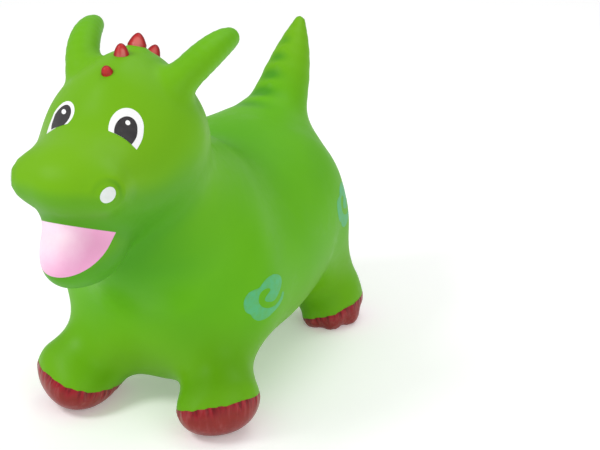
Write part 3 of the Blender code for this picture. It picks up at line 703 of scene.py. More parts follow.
@dataclass(frozen=True)
class NostrilRing:
    """The ring-shaped dent and ridge that the mould leaves round a nostril, in metres."""

    groove_radius: float = 0.0165
    groove_depth: float = 0.0012
    groove_width: float = 0.0030
    ridge_radius: float = 0.0208
    ridge_height: float = 0.0006
    ridge_width: float = 0.0035
    faint: float = 0.25
    cheek_way: float = 0.7

    def height(self, points: np.ndarray, centre: Vector) -> np.ndarray:
        """Raises the skin by a nostril's ring, which is strongest on the cheek's side.

        Args:
            points: The places, one to a row.
            centre: The nostril's place on the skin.

        Returns:
            How far each point is raised.
        """
        offset = points - np.array(centre)
        away = np.linalg.norm(offset, axis=1)
        outwards = np.array((math.copysign(self.cheek_way, centre.x), self.cheek_way, 0.0))
        cheek = np.clip(offset @ outwards / self.groove_radius, 0.0, 1.0)
        strength = self.faint + (1.0 - self.faint) * cheek
        groove = self.groove_depth * np.exp(-((away - self.groove_radius) / self.groove_width) ** 2)
        ridge = self.ridge_height * np.exp(-((away - self.ridge_radius) / self.ridge_width) ** 2)
        return (ridge - groove) * strength


@dataclass(frozen=True)
class Pleats:
    """The short pleats that hang from a foot's paint line, in metres."""

    count: int = 27
    depth: float = 0.0006
    below: float = 0.0060
    reach: float = 0.0070
    fade: float = 0.01
    wander: float = 1.5
    wander_count: float = 5.0
    foot_share: float = 1.5

    def against_line(self, points: np.ndarray, leg: Leg, side: Side) -> np.ndarray:
        """Returns where points lie against a foot's paint line.

        Args:
            points: The places on the skin.
            leg: The leg that the foot is on.
            side: The leg's side.

        Returns:
            For each point, its place out of the line's middle on both axes and its height above the line.
        """
        turned = np.array(leg.paint_place(side).inverted())
        return points @ turned[:3, :3].T + turned[:3, 3]

    def round_line(self, points: np.ndarray, leg: Leg, side: Side) -> np.ndarray:
        """Finds where points lie along the paint line, as a pattern that follows the line needs it.

        Args:
            points: The places, one to a row.
            leg: The leg that the foot is on.
            side: The leg's side.

        Returns:
            For each point, its place on a ring that stands for the line, and its height above the line.
        """
        local = self.against_line(points, leg, side)
        out = np.maximum(np.linalg.norm(local[:, :2], axis=1), SMALL)
        middle = (leg.foot_half[0] + leg.foot_half[1]) / 2
        return np.stack([local[:, 0] / out * middle, local[:, 1] / out * middle, local[:, 2]], axis=1)

    def height(self, points: np.ndarray, leg: Leg, side: Side) -> np.ndarray:
        """Raises the skin by the slow waves of one foot's pleats.

        Args:
            points: The places, one to a row.
            leg: The leg that the foot is on.
            side: The leg's side.

        Returns:
            How far each point is raised.
        """
        local = self.against_line(points, leg, side)
        angle = np.arctan2(side.value * local[:, 0], local[:, 1])
        wave = np.sin(self.count * angle + self.wander * np.sin(self.wander_count * angle))
        edge = self.foot_share * max(leg.foot_half)
        far = np.maximum(np.linalg.norm(local[:, :2], axis=1) - edge, 0.0)
        window = np.exp(-((local[:, 2] + self.below) / self.reach) ** 2 - (far / self.fade) ** 2)
        return self.depth * window * wave


@dataclass(frozen=True)
class Unevenness:
    """The slow rise and fall of a blown-up skin that is not quite even in its wall, in metres."""

    height_limit: float = 0.00035
    waves: tuple[tuple[float, float, float, float], ...] = (
        (31.0, 17.0, 23.0, 0.4), (19.0, -37.0, 29.0, 1.7), (-41.0, 22.0, 13.0, 2.9), (57.0, 49.0, -38.0, 0.9))

    def height(self, points: np.ndarray) -> np.ndarray:
        """Returns how far each point is raised."""
        total = sum(np.sin(points @ np.array(wave[:3]) + wave[3]) for wave in self.waves)
        return self.height_limit * total / len(self.waves)


@dataclass(frozen=True)
class Airbrush:
    """Painted shade: a deeper green under the muzzle, round the jaw and the throat where the skin faces down,
    and on the back behind the head, in metres.
    """

    throat: tuple[float, float, float] = (0.0, -0.25, 0.29)
    throat_reach: float = 0.14
    level: float = 0.35
    span: float = 0.60
    back: tuple[float, float, float] = (0.0, 0.06, 0.30)
    back_reach: float = 0.09
    back_shade: float = 0.6

    def density(self, points: np.ndarray, normals: np.ndarray) -> np.ndarray:
        """Paints the shade as a deeper green.

        Args:
            points: The places, one to a row.
            normals: The skin's normals there.

        Returns:
            How much painted shade each point has, from 0 to 1.
        """
        near = np.exp(-(np.linalg.norm(points - np.array(self.throat), axis=1) / self.throat_reach) ** 4)
        under = np.clip((self.level - normals[:, 2]) / self.span, 0.0, 1.0)
        behind = np.exp(-(np.linalg.norm(points - np.array(self.back), axis=1) / self.back_reach) ** 2)
        return np.maximum(near * under * under * (3.0 - 2.0 * under), behind * self.back_shade)


# The skin.


@dataclass
class Skin:
    """The one moulded skin: trunk, head, ears, tail and legs in one closed form."""

    trunk: Trunk
    head: Head
    ears: Ears
    tail: Tail
    legs: tuple[Leg, ...]
    raw_voxel: float = 0.010
    fine_voxel: float = 0.0064
    raw_rounds: int = 9
    fine_rounds: int = 4
    last_rounds: int = 2
    last_step: float = 0.002
    slope_step: float = 0.0004
    slope_floor: float = 0.25
    body_blend: float = 0.040
    floor_snap: float = 0.0008
    fully_shaded_hollow: float = 0.0016
    ring: NostrilRing = NostrilRing()
    pleats: Pleats = Pleats()
    unevenness: Unevenness = Unevenness()
    airbrush: Airbrush = Airbrush()

    def form(self) -> Form:
        """Joins the whole animal.

        Returns:
            The outer form.
        """
        ears = tuple(self.ears.form(self.head, side) for side in Side)
        head = Blend(self.ears.blend, (self.head.form(), *ears))
        legs = tuple(leg.form(side) for leg in self.legs for side in Side)
        return Blend(self.body_blend, (self.trunk.form(), head, self.tail.form(), *legs))

    def settle(self, mesh: bpy.types.Mesh, form: Form, rounds: int) -> None:
        """Lays a coarse mesh on the form and evens out its faces along the way.

        Args:
            mesh: The mesh to move.
            form: The form that it is laid on.
            rounds: How often it is evened out and laid on.
        """
        points = vectors(mesh.vertices, "co")
        ends = np.empty(len(mesh.edges) * 2, dtype=np.int64)
        mesh.edges.foreach_get("vertices", ends)
        ends = ends.reshape(-1, 2)
        count = np.bincount(ends.ravel(), minlength=len(points))[:, None]
        steps = np.eye(3) * self.slope_step
        for _ in range(rounds):
            near = np.zeros_like(points)
            np.add.at(near, ends[:, 0], points[ends[:, 1]])
            np.add.at(near, ends[:, 1], points[ends[:, 0]])
            points += 0.5 * (near / count - points)
            value = form.distance(points)
            rises = [form.distance(points + step) - value for step in steps]
            grade = np.stack(rises, axis=1) / self.slope_step
            points -= (value / np.maximum((grade ** 2).sum(axis=1), self.slope_floor))[:, None] * grade
            points[points[:, 2] < self.floor_snap, 2] = 0.0
        place_vertices(mesh, points)

    def relief(self, points: np.ndarray, nostrils: Sequence[Vector]) -> np.ndarray:
        """Adds up the skin's moulded detail.

        Args:
            points: The places, one to a row.
            nostrils: The nostrils' places on the skin.

        Returns:
            How far each point is raised.
        """
        total = self.unevenness.height(points) - self.tail.groove(points)
        for centre in nostrils:
            total += self.ring.height(points, centre)
        for leg in self.legs:
            for side in Side:
                total += self.pleats.height(points, leg, side)
        return total

    def build(self, nostril_spots: Callable[[BVHTree], list[Vector]]) -> bpy.types.Object:
        """Builds the skin as a fine closed mesh.

        Args:
            nostril_spots: Gives the nostrils' places on the skin from its search tree.

        Returns:
            The skin's object.
        """
        form = self.form()
        shapes = bmesh.new()
        form.add_to(shapes)
        item = from_bmesh("skin", shapes)
        for voxel, rounds in ((self.raw_voxel, self.raw_rounds), (self.fine_voxel, self.fine_rounds)):
            remesh = item.modifiers.new("one_skin", "REMESH")
            remesh.mode = "VOXEL"
            remesh.voxel_size = voxel
            self.settle(settled(item).data, form, rounds)
        fine = item.modifiers.new("finer", "SUBSURF")
        fine.levels = fine.render_levels = 1
        settled(item)
        for _ in range(self.last_rounds):
            points = vectors(item.data.vertices, "co")
            normals = vectors(item.data.vertices, "normal")
            points -= np.clip(form.distance(points), -self.last_step, self.last_step)[:, None] * normals
            points[points[:, 2] < self.floor_snap, 2] = 0.0
            place_vertices(item.data, points)
        points = vectors(item.data.vertices, "co")
        lift = self.relief(points, nostril_spots(surface_tree(item.data)))
        lift[points[:, 2] < self.floor_snap] = 0.0
        normals = vectors(item.data.vertices, "normal")
        points += lift[:, None] * normals
        points[:, 2] = np.maximum(points[:, 2], 0.0)
        place_vertices(item.data, points)
        # Painted shade: the hollows of the relief, the skin under the head and the back are marked for a
        # deeper green in the material.
        depth = np.maximum(-lift / self.fully_shaded_hollow, self.airbrush.density(points, normals))
        deep = item.data.attributes.new("painted_shade_amount", "FLOAT", "POINT")
        deep.data.foreach_set("value", np.clip(depth, 0.0, 1.0).astype(np.float32))
        LOG.info("skin: %d faces", len(item.data.polygons))
        return item


def surface_tree(mesh: bpy.types.Mesh) -> BVHTree:
    """Returns a search tree of a mesh's faces."""
    places = [vertex.co for vertex in mesh.vertices]
    return BVHTree.FromPolygons(places, [face.vertices[:] for face in mesh.polygons])


# Paint on the skin.


@dataclass
class Printer:
    """Lays thin films of paint on the skin."""

    skin: bpy.types.Object
    tree: BVHTree
    film: float = 0.00030
    reach: float = 0.012

    def hit(self, focus: Vector, direction: Vector) -> tuple[Vector, Vector]:
        """Returns the place and the normal of the skin seen from a place inside it."""
        place, normal, _, _ = self.tree.ray_cast(focus, direction)
        return place, normal

    def cone(self, focus: Vector, rays: Sequence[Vector]) -> bpy.types.Object:
        """Makes a stencil: a short cone from a focus whose sides run along the rays.

        Args:
            focus: The place inside the skin that the rays start from.
            rays: The directions through the outline's points.

        Returns:
            A closed body that reaches a little to both sides of the skin.
        """
        shape = bmesh.new()
        near = bmesh.ops.create_circle(shape, cap_ends=True, segments=len(rays), radius=1.0)["verts"]
        for vertex, ray in zip(near, rays):
            vertex.co = self.hit(focus, ray)[0] - ray * self.reach
        made = bmesh.ops.extrude_face_region(shape, geom=list(shape.faces))["geom"]
        for vertex in (item for item in made if isinstance(item, bmesh.types.BMVert)):
            vertex.co += (vertex.co - focus).normalized() * self.reach * 2
        bmesh.ops.triangulate(shape, faces=[face for face in shape.faces if len(face.verts) > 4])
        face_outwards(shape)
        return from_bmesh("stencil", shape)

    def rays(self, focus: Vector, aim: Vector, side: Side, outline: Outline) -> list[Vector]:
        """Returns the rays through a flat outline laid on the skin.

        Args:
            focus: The place inside the skin that the rays start from.
            aim: The direction of the outline's middle.
            side: The side whose outwards is the outline's first axis.
            outline: Pairs of outwards and upwards, in metres.

        Returns:
            One direction for each point of the outline.
        """
        centre, normal = self.hit(focus, aim)
        across = Vector((0.0, 0.0, 1.0)).cross(normal).normalized() * side.value
        upward = normal.cross(across) * side.value
        return [(centre + across * out + upward * up - focus).normalized() for out, up in outline]

    def print_on(self, name: str, stencil: bpy.types.Object, centre: Vector, radius: float,
                 layer: Layer = Layer.FIRST) -> bpy.types.Object:
        """Lays a film of paint on the skin within a stencil.

        Args:
            name: The film's name.
            stencil: The closed body that bounds the film; it is used up.
            centre: The middle of the part of the skin that the film comes from.
            radius: How far that part reaches.
            layer: How far the film stands off the skin.

        Returns:
            The film as a thin closed piece.
        """
        patch = bmesh.new()
        patch.from_mesh(self.skin.data)
        far = [face for face in patch.faces if (face.calc_center_median() - centre).length > radius]
        bmesh.ops.delete(patch, geom=far, context="FACES")
        normals = {vertex: vertex.normal.copy() for vertex in patch.verts}
        for vertex, normal in normals.items():
            vertex.co += normal * (layer.value - self.film)
        made = bmesh.ops.extrude_face_region(patch, geom=list(patch.faces))["geom"]
        for vertex in (item for item in made if isinstance(item, bmesh.types.BMVert)):
            vertex.co += vertex.normal * self.film
        bmesh.ops.recalc_face_normals(patch, faces=patch.faces)
        item = from_bmesh(name, patch)
        cut = item.modifiers.new("stencilled", "BOOLEAN")
        cut.operation = "INTERSECT"
        cut.solver = "EXACT"
        cut.object = stencil
        settled(item)
        drop(stencil)
        LOG.info("%s: %d faces", name, len(item.data.polygons))
        return item


def finish_piece(item: bpy.types.Object, material: bpy.types.Material,
                 stands_for: Sequence[str] = (), body: str = "skin") -> bpy.types.Object:
    """Dresses a piece and tells the frame what it rides on and stands for.

    Args:
        item: The piece.
        material: Its finish.
        stands_for: The CAD nodes that it takes the place of.
        body: The body that it rides on.

    Returns:
        The piece.
    """
    dress(item, material)
    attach(item, body)
    if stands_for:
        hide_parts(*stands_for)
    return item


def oval(half_width: float, half_height: float, lean: float, count: int = 40) -> Outline:
    """Draws a leaning oval.

    Args:
        half_width: Half its width before it leans, in metres.
        half_height: Half its height before it leans.
        lean: How far it leans, in radians.
        count: How many points it has.

    Returns:
        The outline as pairs of outwards and upwards.
    """
    turn = Matrix.Rotation(lean, 2)
    steps = [math.tau * step / count for step in range(count)]
    points = (Vector((half_width * math.cos(step), half_height * math.sin(step))) for step in steps)
    return [tuple(turn @ point) for point in points]


@dataclass(frozen=True)
class Lobe:
    """A printed outline: half an oval above, a cut down to a tip and a cheek back up, in metres."""

    half_width: float
    rise: float
    tip: tuple[float, float]
    lean: float = 0.20
    inward: float = 0.0
    drop: float = 0.0
    cut_bow: float = 0.0
    cheek_bow: float = 0.0
    steps: int = 28

    def outline(self) -> Outline:
        """Draws the lobe.

        Returns:
            The outline as pairs of outwards and upwards.
        """
        points = []
        for step in range(self.steps):
            angle = math.pi * step / self.steps
            height = self.rise * math.sin(angle)
            out = self.half_width * math.cos(angle) + self.lean * height - self.inward
            points.append((out, height - self.drop * (1.0 - math.cos(angle)) / 2))
        inner = Vector((-self.half_width - self.inward, -self.drop))
        tip = Vector(self.tip)
        outer = Vector((self.half_width - self.inward, 0.0))
        for first, last, bow in ((inner, tip, self.cut_bow), (tip, outer, -self.cheek_bow)):
            way = (last - first).normalized()
            inside = Vector((-way.y, way.x))
            for step in range(self.steps // 2):
                along = 2 * step / self.steps
                points.append(tuple(first.lerp(last, along) + inside * bow * math.sin(math.pi * along)))
        return points


@dataclass(frozen=True)
class EyePrint:
    """One printed eye: its white, the pupil in it and the glint in that, in metres."""

    white: Lobe
    pupil: Lobe
    glint_at: tuple[float, float]
    glint_half: tuple[float, float]

    def glint(self) -> Outline:
        """Returns the glint's outline."""
        return [(self.glint_at[0] + out, self.glint_at[1] + up) for out, up in oval(*self.glint_half, 0.0)]


LEFT_EYE = EyePrint(
    Lobe(0.0212, 0.0250, (0.0041, -0.0272), drop=-0.0015, cut_bow=0.0031, cheek_bow=0.0028),
    Lobe(0.0143, 0.0166, (0.0001, -0.0196), inward=0.0010, drop=0.0023, cut_bow=0.0012, cheek_bow=0.0026),
    (0.0040, 0.0074), (0.0028, 0.0031))
RIGHT_EYE = EyePrint(
    Lobe(0.0241, 0.0219, (-0.0105, -0.0185), lean=0.22, inward=0.0011, drop=-0.0040, cut_bow=0.0028,
         cheek_bow=0.0046),
    Lobe(0.0192, 0.0187, (-0.0093, -0.0123), lean=0.25, inward=0.0027, drop=-0.0014, cheek_bow=0.0028),
    (0.0023, 0.0103), (0.0060, 0.0027))


@dataclass(frozen=True)
class Eyes:
    """The printed eyes: where they look out of the skull, and the print of each."""

    out: float = math.radians(30.4)
    up: float = math.radians(24.1)
    reach: float = 0.045

    def build(self, printer: Printer, head: Head, finishes: "Finishes") -> None:
        """Prints both eyes on the head.

        Args:
            printer: Lays the paint.
            head: The head that carries the eyes.
            finishes: The finishes by name.
        """
        focus = Vector(head.place())
        for side, eye in ((Side.LEFT, LEFT_EYE), (Side.RIGHT, RIGHT_EYE)):
            aim = looking(self.out, self.up, side)
            centre = printer.hit(focus, aim)[0]
            for name, outline, layer, finish, slot, stands in (
                    ("eye_white", eye.white.outline(), Layer.FIRST, finishes.eye_white, "white", True),
                    ("pupil", eye.pupil.outline(), Layer.SECOND, finishes.pupil, "black", True),
                    ("glint", eye.glint(), Layer.THIRD, finishes.eye_white, "white", False)):
                stencil = printer.cone(focus, printer.rays(focus, aim, side, outline))
                film = printer.print_on(f"painted_{name}_{side.word}", stencil, centre, self.reach, layer)
                finish_piece(film, finish, (f"{name}_{side.word}",) if stands else ())


@dataclass(frozen=True)
class Nostrils:
    """The printed nostrils: white ovals on the bumps of the muzzle, in metres."""

    out: float = math.radians(31)
    right_out: float = math.radians(60)
    up: float = math.radians(6)
    half_width: float = 0.0083
    half_height: float = 0.0108
    lean: float = math.radians(-40)
    patch: float = 0.024

    def aim(self, side: Side) -> Vector:
        """Returns the way from the middle of a nostril's bump to its white oval."""
        return looking(self.out if side is Side.LEFT else self.right_out, self.up, side)

    def spots(self, head: Head, tree: BVHTree) -> list[Vector]:
        """Returns the two nostrils' places on the skin."""
        return [tree.ray_cast(head.nostril(side), self.aim(side))[0] for side in Side]

    def build(self, printer: Printer, head: Head, finishes: "Finishes") -> None:
        """Prints both nostrils on the muzzle.

        Args:
            printer: Lays the paint.
            head: The head that carries the nostrils.
            finishes: The finishes by name.
        """
        for side in Side:
            focus = head.nostril(side)
            aim = self.aim(side)
            outline = oval(self.half_width, self.half_height, self.lean)
            stencil = printer.cone(focus, printer.rays(focus, aim, side, outline))
            centre = printer.hit(focus, aim)[0]
            film = printer.print_on(f"painted_nostril_{side.word}", stencil, centre, self.patch)
            finish_piece(film, finishes.nostril_white, (f"nostril_{side.word}",))


@dataclass(frozen=True)
class Mouth:
    """The printed mouth on the jaw, in angles seen from the middle of the jaw, and its patch in metres."""

    half_width: float = math.radians(64)
    top: float = math.radians(25)
    corner: float = math.radians(13)
    bottom: float = math.radians(-17.5)
    top_curve: float = 2.0
    bottom_curve: float = 3.3
    steps: int = 96
    patch: float = 0.10

    def smile(self) -> list[Vector]:
        """Draws the mouth.

        Returns:
            The directions through its outline.
        """
        rays = []
        for step in range(self.steps):
            angle = math.tau * step / self.steps
            share = abs(math.cos(angle))
            above = math.sin(angle) >= 0.0
            far, curve = (self.top, self.top_curve) if above else (self.bottom, self.bottom_curve)
            rise = self.corner + (far - self.corner) * (1.0 - share ** curve)
            rays.append(looking(self.half_width * math.cos(angle), rise))
        return rays

    def build(self, printer: Printer, head: Head, finishes: "Finishes") -> None:
        """Prints the mouth on the jaw.

        Args:
            printer: Lays the paint.
            head: The head that carries the mouth.
            finishes: The finishes by name.
        """
        stencil = printer.cone(head.jaw(), self.smile())
        film = printer.print_on("painted_mouth", stencil, head.jaw(), self.patch)
        finish_piece(film, finishes.mouth, ("mouth",))


@dataclass(frozen=True)
class RedFeet:
    """The red paint of the feet, in metres, up to a line that three crossing waves make uneven."""

    reach: float = 0.095
    depth: float = 0.12
    wave: float = 0.0006
    waves_per_metre: float = 62.0
    bend: float = 2.3
    bend_rate: float = 0.31
    cross_rate: float = 0.57
    cross_start: float = 1.3
    ripple: float = 0.6
    ripple_rate: float = 2.1
    ripple_start: float = 0.7
    ripple_fade_rate: float = 0.4
    segments: int = 72
    patch: float = 0.082
    pleats: Pleats = Pleats()

    def block(self, place: Matrix) -> bpy.types.Object:
        """Makes a block whose top is the tilted and wavy line of the paint.

        Args:
            place: The place and tilt of the line's plane.

        Returns:
            The block, which a film is cut with.
        """
        shape = bmesh.new()
        bmesh.ops.create_grid(shape, x_segments=self.segments, y_segments=self.segments, size=self.reach)
        turn = math.tau * self.waves_per_metre
        for vertex in shape.verts:
            x, y = vertex.co.xy
            wave = math.sin(turn * x + self.bend * math.sin(turn * y * self.bend_rate))
            wave += math.sin(turn * self.cross_rate * y + self.cross_start)
            ripple = self.ripple * math.sin(turn * self.ripple_rate * (x + y) + self.ripple_start)
            wave += ripple * math.sin(turn * self.ripple_fade_rate * x)
            vertex.co.z = self.wave * wave
        made = bmesh.ops.extrude_face_region(shape, geom=list(shape.faces))["geom"]
        low = [item for item in made if isinstance(item, bmesh.types.BMVert)]
        bmesh.ops.translate(shape, verts=low, vec=(0.0, 0.0, -self.depth))
        bmesh.ops.transform(shape, matrix=place, verts=shape.verts)
        face_outwards(shape)
        return from_bmesh("foot_stencil", shape)

    def build(self, printer: Printer, legs: Sequence[Leg], finishes: "Finishes") -> None:
        """Paints the four feet.

        Args:
            printer: Lays the paint.
            legs: The front and the rear leg.
            finishes: The finishes by name.
        """
        for leg in legs:
            for side in Side:
                name = f"foot_{leg.name}_{side.word}"
                centre = Vector((side.value * leg.foot_x, leg.foot_y, 0.0))
                stencil = self.block(leg.paint_place(side))
                film = printer.print_on(f"painted_{name}", stencil, centre, self.patch)
                line = self.pleats.round_line(vectors(film.data.vertices, "co"), leg, side)
                carried = film.data.attributes.new("paint_line", "FLOAT_VECTOR", "POINT")
                carried.data.foreach_set("vector", line.astype(np.float32).ravel())
                finish_piece(film, finishes.foot_red, (name,))


# The swirl's corners on the flank, in millimetres outwards and upwards. They are read off the photograph,
# and laid on the form of the flank along the lines of sight.
SWIRL_CORNERS = (
    (12.6, 27.3), (27.4, 20.4), (31.6, 12.0), (26.0, 3.8), (15.7, -3.5), (6.5, -7.8), (-11.7, -1.7),
    (-9.0, 4.4), (-1.2, 8.3), (0.2, 11.8), (-5.2, 14.5), (-13.5, 14.3), (-19.7, 9.0), (-20.3, -0.9),
    (-13.8, -9.2), (-1.9, -14.1), (10.9, -15.2), (24.4, -12.6), (31.4, -3.5), (37.8, -6.9),
    (35.2, -14.8), (24.4, -20.9), (9.8, -23.0), (1.0, -26.4), (-9.5, -27.6), (-18.8, -26.7),
    (-26.8, -20.4), (-29.5, -14.4), (-36.3, -10.6), (-39.7, -0.9), (-38.6, 9.6), (-33.1, 16.8),
    (-25.2, 18.5), (-17.4, 18.3), (-12.3, 23.2), (-2.6, 27.5))
METRES_PER_MILLIMETRE = 0.001


@dataclass(frozen=True)
class Swirl:
    """A printed swirl, on both flanks, and the place inside the trunk that its rays start from, in metres."""

    name: str
    focus: tuple[float, float, float]
    reach: float = 0.052
    roundings: int = 2
    near_share: float = 0.75

    def outline(self) -> Outline:
        """Draws the swirl; each rounding cuts every corner off between two new ones.

        Returns:
            The outline as pairs of outwards and upwards.
        """
        line = np.array(SWIRL_CORNERS) * METRES_PER_MILLIMETRE
        near, far = self.near_share, 1.0 - self.near_share
        for _ in range(self.roundings):
            ahead = np.roll(line, -1, axis=0)
            line = np.stack([near * line + far * ahead, far * line + near * ahead], axis=1).reshape(-1, 2)
        return [tuple(point) for point in line]

    def build(self, printer: Printer, finishes: "Finishes") -> None:
        """Prints the swirl on both flanks.

        Args:
            printer: Lays the paint.
            finishes: The finishes by name.
        """
        for side in Side:
            focus = Vector(self.focus)
            aim = Vector((side.value, 0.0, 0.0))
            stencil = printer.cone(focus, printer.rays(focus, aim, side, self.outline()))
            centre = printer.hit(focus, aim)[0]
            film = printer.print_on(f"{self.name}_{side.word}", stencil, centre, self.reach)
            finish_piece(film, finishes.teal)


SWIRLS = (Swirl("swirl_flank", (0.0, -0.0737, 0.1564)), Swirl("swirl_rump", (0.0, 0.1880, 0.1800)))


# Pieces of their own.


@dataclass(frozen=True)
class Horns:
    """The four horns on the crown, in metres."""

    radii: tuple[float, ...] = (0.0068, 0.0088, 0.0108, 0.0098)
    heights: tuple[float, ...] = (0.0086, 0.0126, 0.0130, 0.0165)
    cones: tuple[float, ...] = (0.25, 0.38, 0.50, 0.38)
    roundness: float = 3.4
    sink: float = 0.004
    flare: float = 1.03
    skirt: float = 0.0004
    first_angle: float = 0.12
    rings: int = 16
    steps: int = 40

    def build(self, printer: Printer, head: Head, finishes: "Finishes") -> None:
        """Seats the horns on the crown.

        Args:
            printer: Gives the skin's places.
            head: The head that carries the horns.
            finishes: The finishes by name.
        """
        for number, (radius, height, cone) in enumerate(zip(self.radii, self.heights, self.cones)):
            shares = np.sin(np.linspace(math.pi / 2, self.first_angle, self.rings)[1:])
            rise = [(radius * (1.0 - cone * share) * math.sqrt(1.0 - share ** self.roundness), height * share)
                    for share in shares]
            foot = radius * self.flare
            profile = [(0.0, height), *rise, (foot, -self.skirt), (foot, -self.sink), (0.0, -self.sink)]
            shape = spun(profile, self.steps)
            place, normal = printer.hit(Vector(head.place()), head.horn_direction(number))
            lean = Vector((0.0, normal.y, normal.z)).to_track_quat("Z", "Y").to_matrix().to_4x4()
            bmesh.ops.transform(shape, matrix=Matrix.Translation(place) @ lean, verts=shape.verts)
            horn = from_bmesh(f"painted_horn_{number + 1}", shape)
            finish_piece(horn, finishes.horn_red, (f"horn_{number + 1}",))
            LOG.info("horn_%d: %.1f mm tall", number + 1, height * 1000)


@dataclass(frozen=True)
class Valve:
    """The valve collar in the belly and the stopper that closes it, in metres."""

    y: float = 0.067
    start_z: float = 0.153
    radius: float = 0.0110
    depth: float = 0.0150
    gap: float = 0.0003
    mouth_radius: float = 0.0050
    tip_radius: float = 0.0040
    plug_length: float = 0.0115
    head_radius: float = 0.0085
    head_thickness: float = 0.0024
    round: float = 0.0006
    corner_share: float = 0.3
    recess: float = 0.00025
    recess_gap: float = 0.0004
    recess_slope: float = 0.0003
    flare_in: float = 0.2
    flare_middle: float = 0.7
    flare_end: float = 1.6
    bore_spare: float = 0.003
    grip_share: float = 0.45
    grip_hollow: float = 0.0006
    middle_hollow: float = 0.0008
    steps: int = 48

    def bore(self, skin: bpy.types.Object) -> float:
        """Opens a blind bore in the belly for the collar.

        Args:
            skin: The skin.

        Returns:
            The height of the belly at the valve.
        """
        shape = bmesh.new()
        shape.from_mesh(skin.data)
        axis = Vector((0.0, self.y))
        low = [face for face in shape.faces if face.calc_center_median().z < self.start_z]
        inner = [face for face in low if (face.calc_center_median().xy - axis).length < self.radius]
        belly = sum(face.calc_center_median().z for face in inner) / len(inner)
        rim = {edge for face in inner for edge in face.edges
               if any(other not in inner for other in edge.link_faces)}
        rim = list(rim)
        bmesh.ops.delete(shape, geom=inner, context="FACES")
        for vertex in {vertex for edge in rim for vertex in edge.verts}:
            away = (vertex.co.xy - axis).normalized() * (self.radius + self.gap / 2)
            vertex.co.xy = axis + away
        made = bmesh.ops.extrude_edge_only(shape, edges=rim)["geom"]
        deep = [item for item in made if isinstance(item, bmesh.types.BMVert)]
        bmesh.ops.translate(shape, verts=deep, vec=(0.0, 0.0, self.depth + self.bore_spare))
        ends = [item for item in made if isinstance(item, bmesh.types.BMEdge) and item.is_boundary]
        bmesh.ops.holes_fill(shape, edges=ends, sides=0)
        bmesh.ops.recalc_face_normals(shape, faces=shape.faces)
        shape.to_mesh(skin.data)
        shape.free()
        return belly

    def build(self, belly: float, finishes: "Finishes") -> None:
        """Makes the collar and the stopper.

        Args:
            belly: The height of the belly at the valve.
            finishes: The finishes by name.
        """
        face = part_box("valve_collar")[0].z
        LOG.info("valve: belly at %.4f, collar's face at %.4f", belly, face)
        mouth, narrow = self.mouth_radius + self.gap, self.tip_radius + self.gap
        edge, cut = self.round, self.round * self.corner_share
        recess_radius = self.head_radius + self.recess_gap
        # Down the outside, over the face, into the shallow recess, and up the tapered mouth.
        ring = [(self.radius, self.depth), (self.radius, edge), (self.radius - cut, cut),
                (self.radius - edge, 0.0), (recess_radius, 0.0),
                (recess_radius - self.recess_slope, self.recess), (mouth + edge, self.recess),
                (mouth + edge * self.flare_in, edge * self.flare_middle), (mouth, edge * self.flare_end),
                (narrow, self.plug_length), (narrow, self.depth), (self.radius, self.depth)]
        collar = spun(ring, self.steps)
        bmesh.ops.translate(collar, verts=collar.verts, vec=(0.0, self.y, face))
        ring_piece = from_bmesh("valve_ring", collar)
        finish_piece(ring_piece, finishes.valve_green, ("valve_collar",))
        top, bottom = -self.gap, -self.gap - self.head_thickness
        grip = self.head_radius * self.grip_share
        # Down the tapered plug, out and round the head's edge, and into the hollow of its grip.
        stopper = [(0.0, self.plug_length), (self.tip_radius - edge, self.plug_length),
                   (self.tip_radius - cut, self.plug_length - cut),
                   (self.tip_radius, self.plug_length - edge), (self.mouth_radius, top),
                   (self.head_radius - edge, top), (self.head_radius - cut, top - cut),
                   (self.head_radius, top - edge), (self.head_radius, bottom + edge),
                   (self.head_radius - cut, bottom + cut), (self.head_radius - edge, bottom),
                   (grip, bottom), (grip - self.grip_hollow, bottom + self.grip_hollow),
                   (0.0, bottom + self.middle_hollow)]
        plug = spun(stopper, self.steps)
        bmesh.ops.translate(plug, verts=plug.verts, vec=(0.0, self.y, face))
        stopper_piece = from_bmesh("stopper", plug)
        finish_piece(stopper_piece, finishes.stopper_white, ("valve_plug",), "stopper")


# Finishes.


class Graph:
    """A short way to add and join shader nodes in one tree."""

    def __init__(self, tree: bpy.types.NodeTree) -> None:
        """Keeps the tree."""
        self.tree = tree

    def add(self, kind: str, inputs: dict | None = None, **settings: object) -> bpy.types.Node:
        """Adds a node.

        Args:
            kind: The node's type without the ShaderNode in front.
            inputs: Socket names or numbers with what they hold or are fed by.
            settings: The node's own settings.

        Returns:
            The node.
        """
        node = self.tree.nodes.new(kind if kind.startswith("Node") else f"ShaderNode{kind}")
        for name, value in settings.items():
            setattr(node, name, value)
        for name, value in (inputs or {}).items():
            if isinstance(value, bpy.types.NodeSocket):
                self.tree.links.new(value, node.inputs[name])
            else:
                node.inputs[name].default_value = value
        return node

    def noise(self, vector: bpy.types.NodeSocket, scale: float, detail: float = 2.0,
              rough: float = 0.5) -> bpy.types.NodeSocket:
        """Returns a noise value over the piece."""
        node = self.add("TexNoise", {"Vector": vector, "Scale": scale, "Detail": detail, "Roughness": rough})
        return node.outputs["Fac"]

    def span(self, value: bpy.types.NodeSocket, low: float, high: float, to_low: float = 0.0,
             to_high: float = 1.0) -> bpy.types.NodeSocket:
        """Stretches a value smoothly from one span to another.

        Args:
            value: The value.
            low: Where the first span starts.
            high: Where it ends.
            to_low: What the start becomes.
            to_high: What the end becomes.

        Returns:
            The stretched value.
        """
        node = self.add("MapRange", {"Value": value, "From Min": low, "From Max": high, "To Min": to_low,
                                     "To Max": to_high}, interpolation_type="SMOOTHSTEP")
        return node.outputs["Result"]

    def math(self, operation: str, first: object, second: object) -> bpy.types.NodeSocket:
        """Returns the result of a sum on two values."""
        return self.add("Math", {0: first, 1: second}, operation=operation).outputs["Value"]


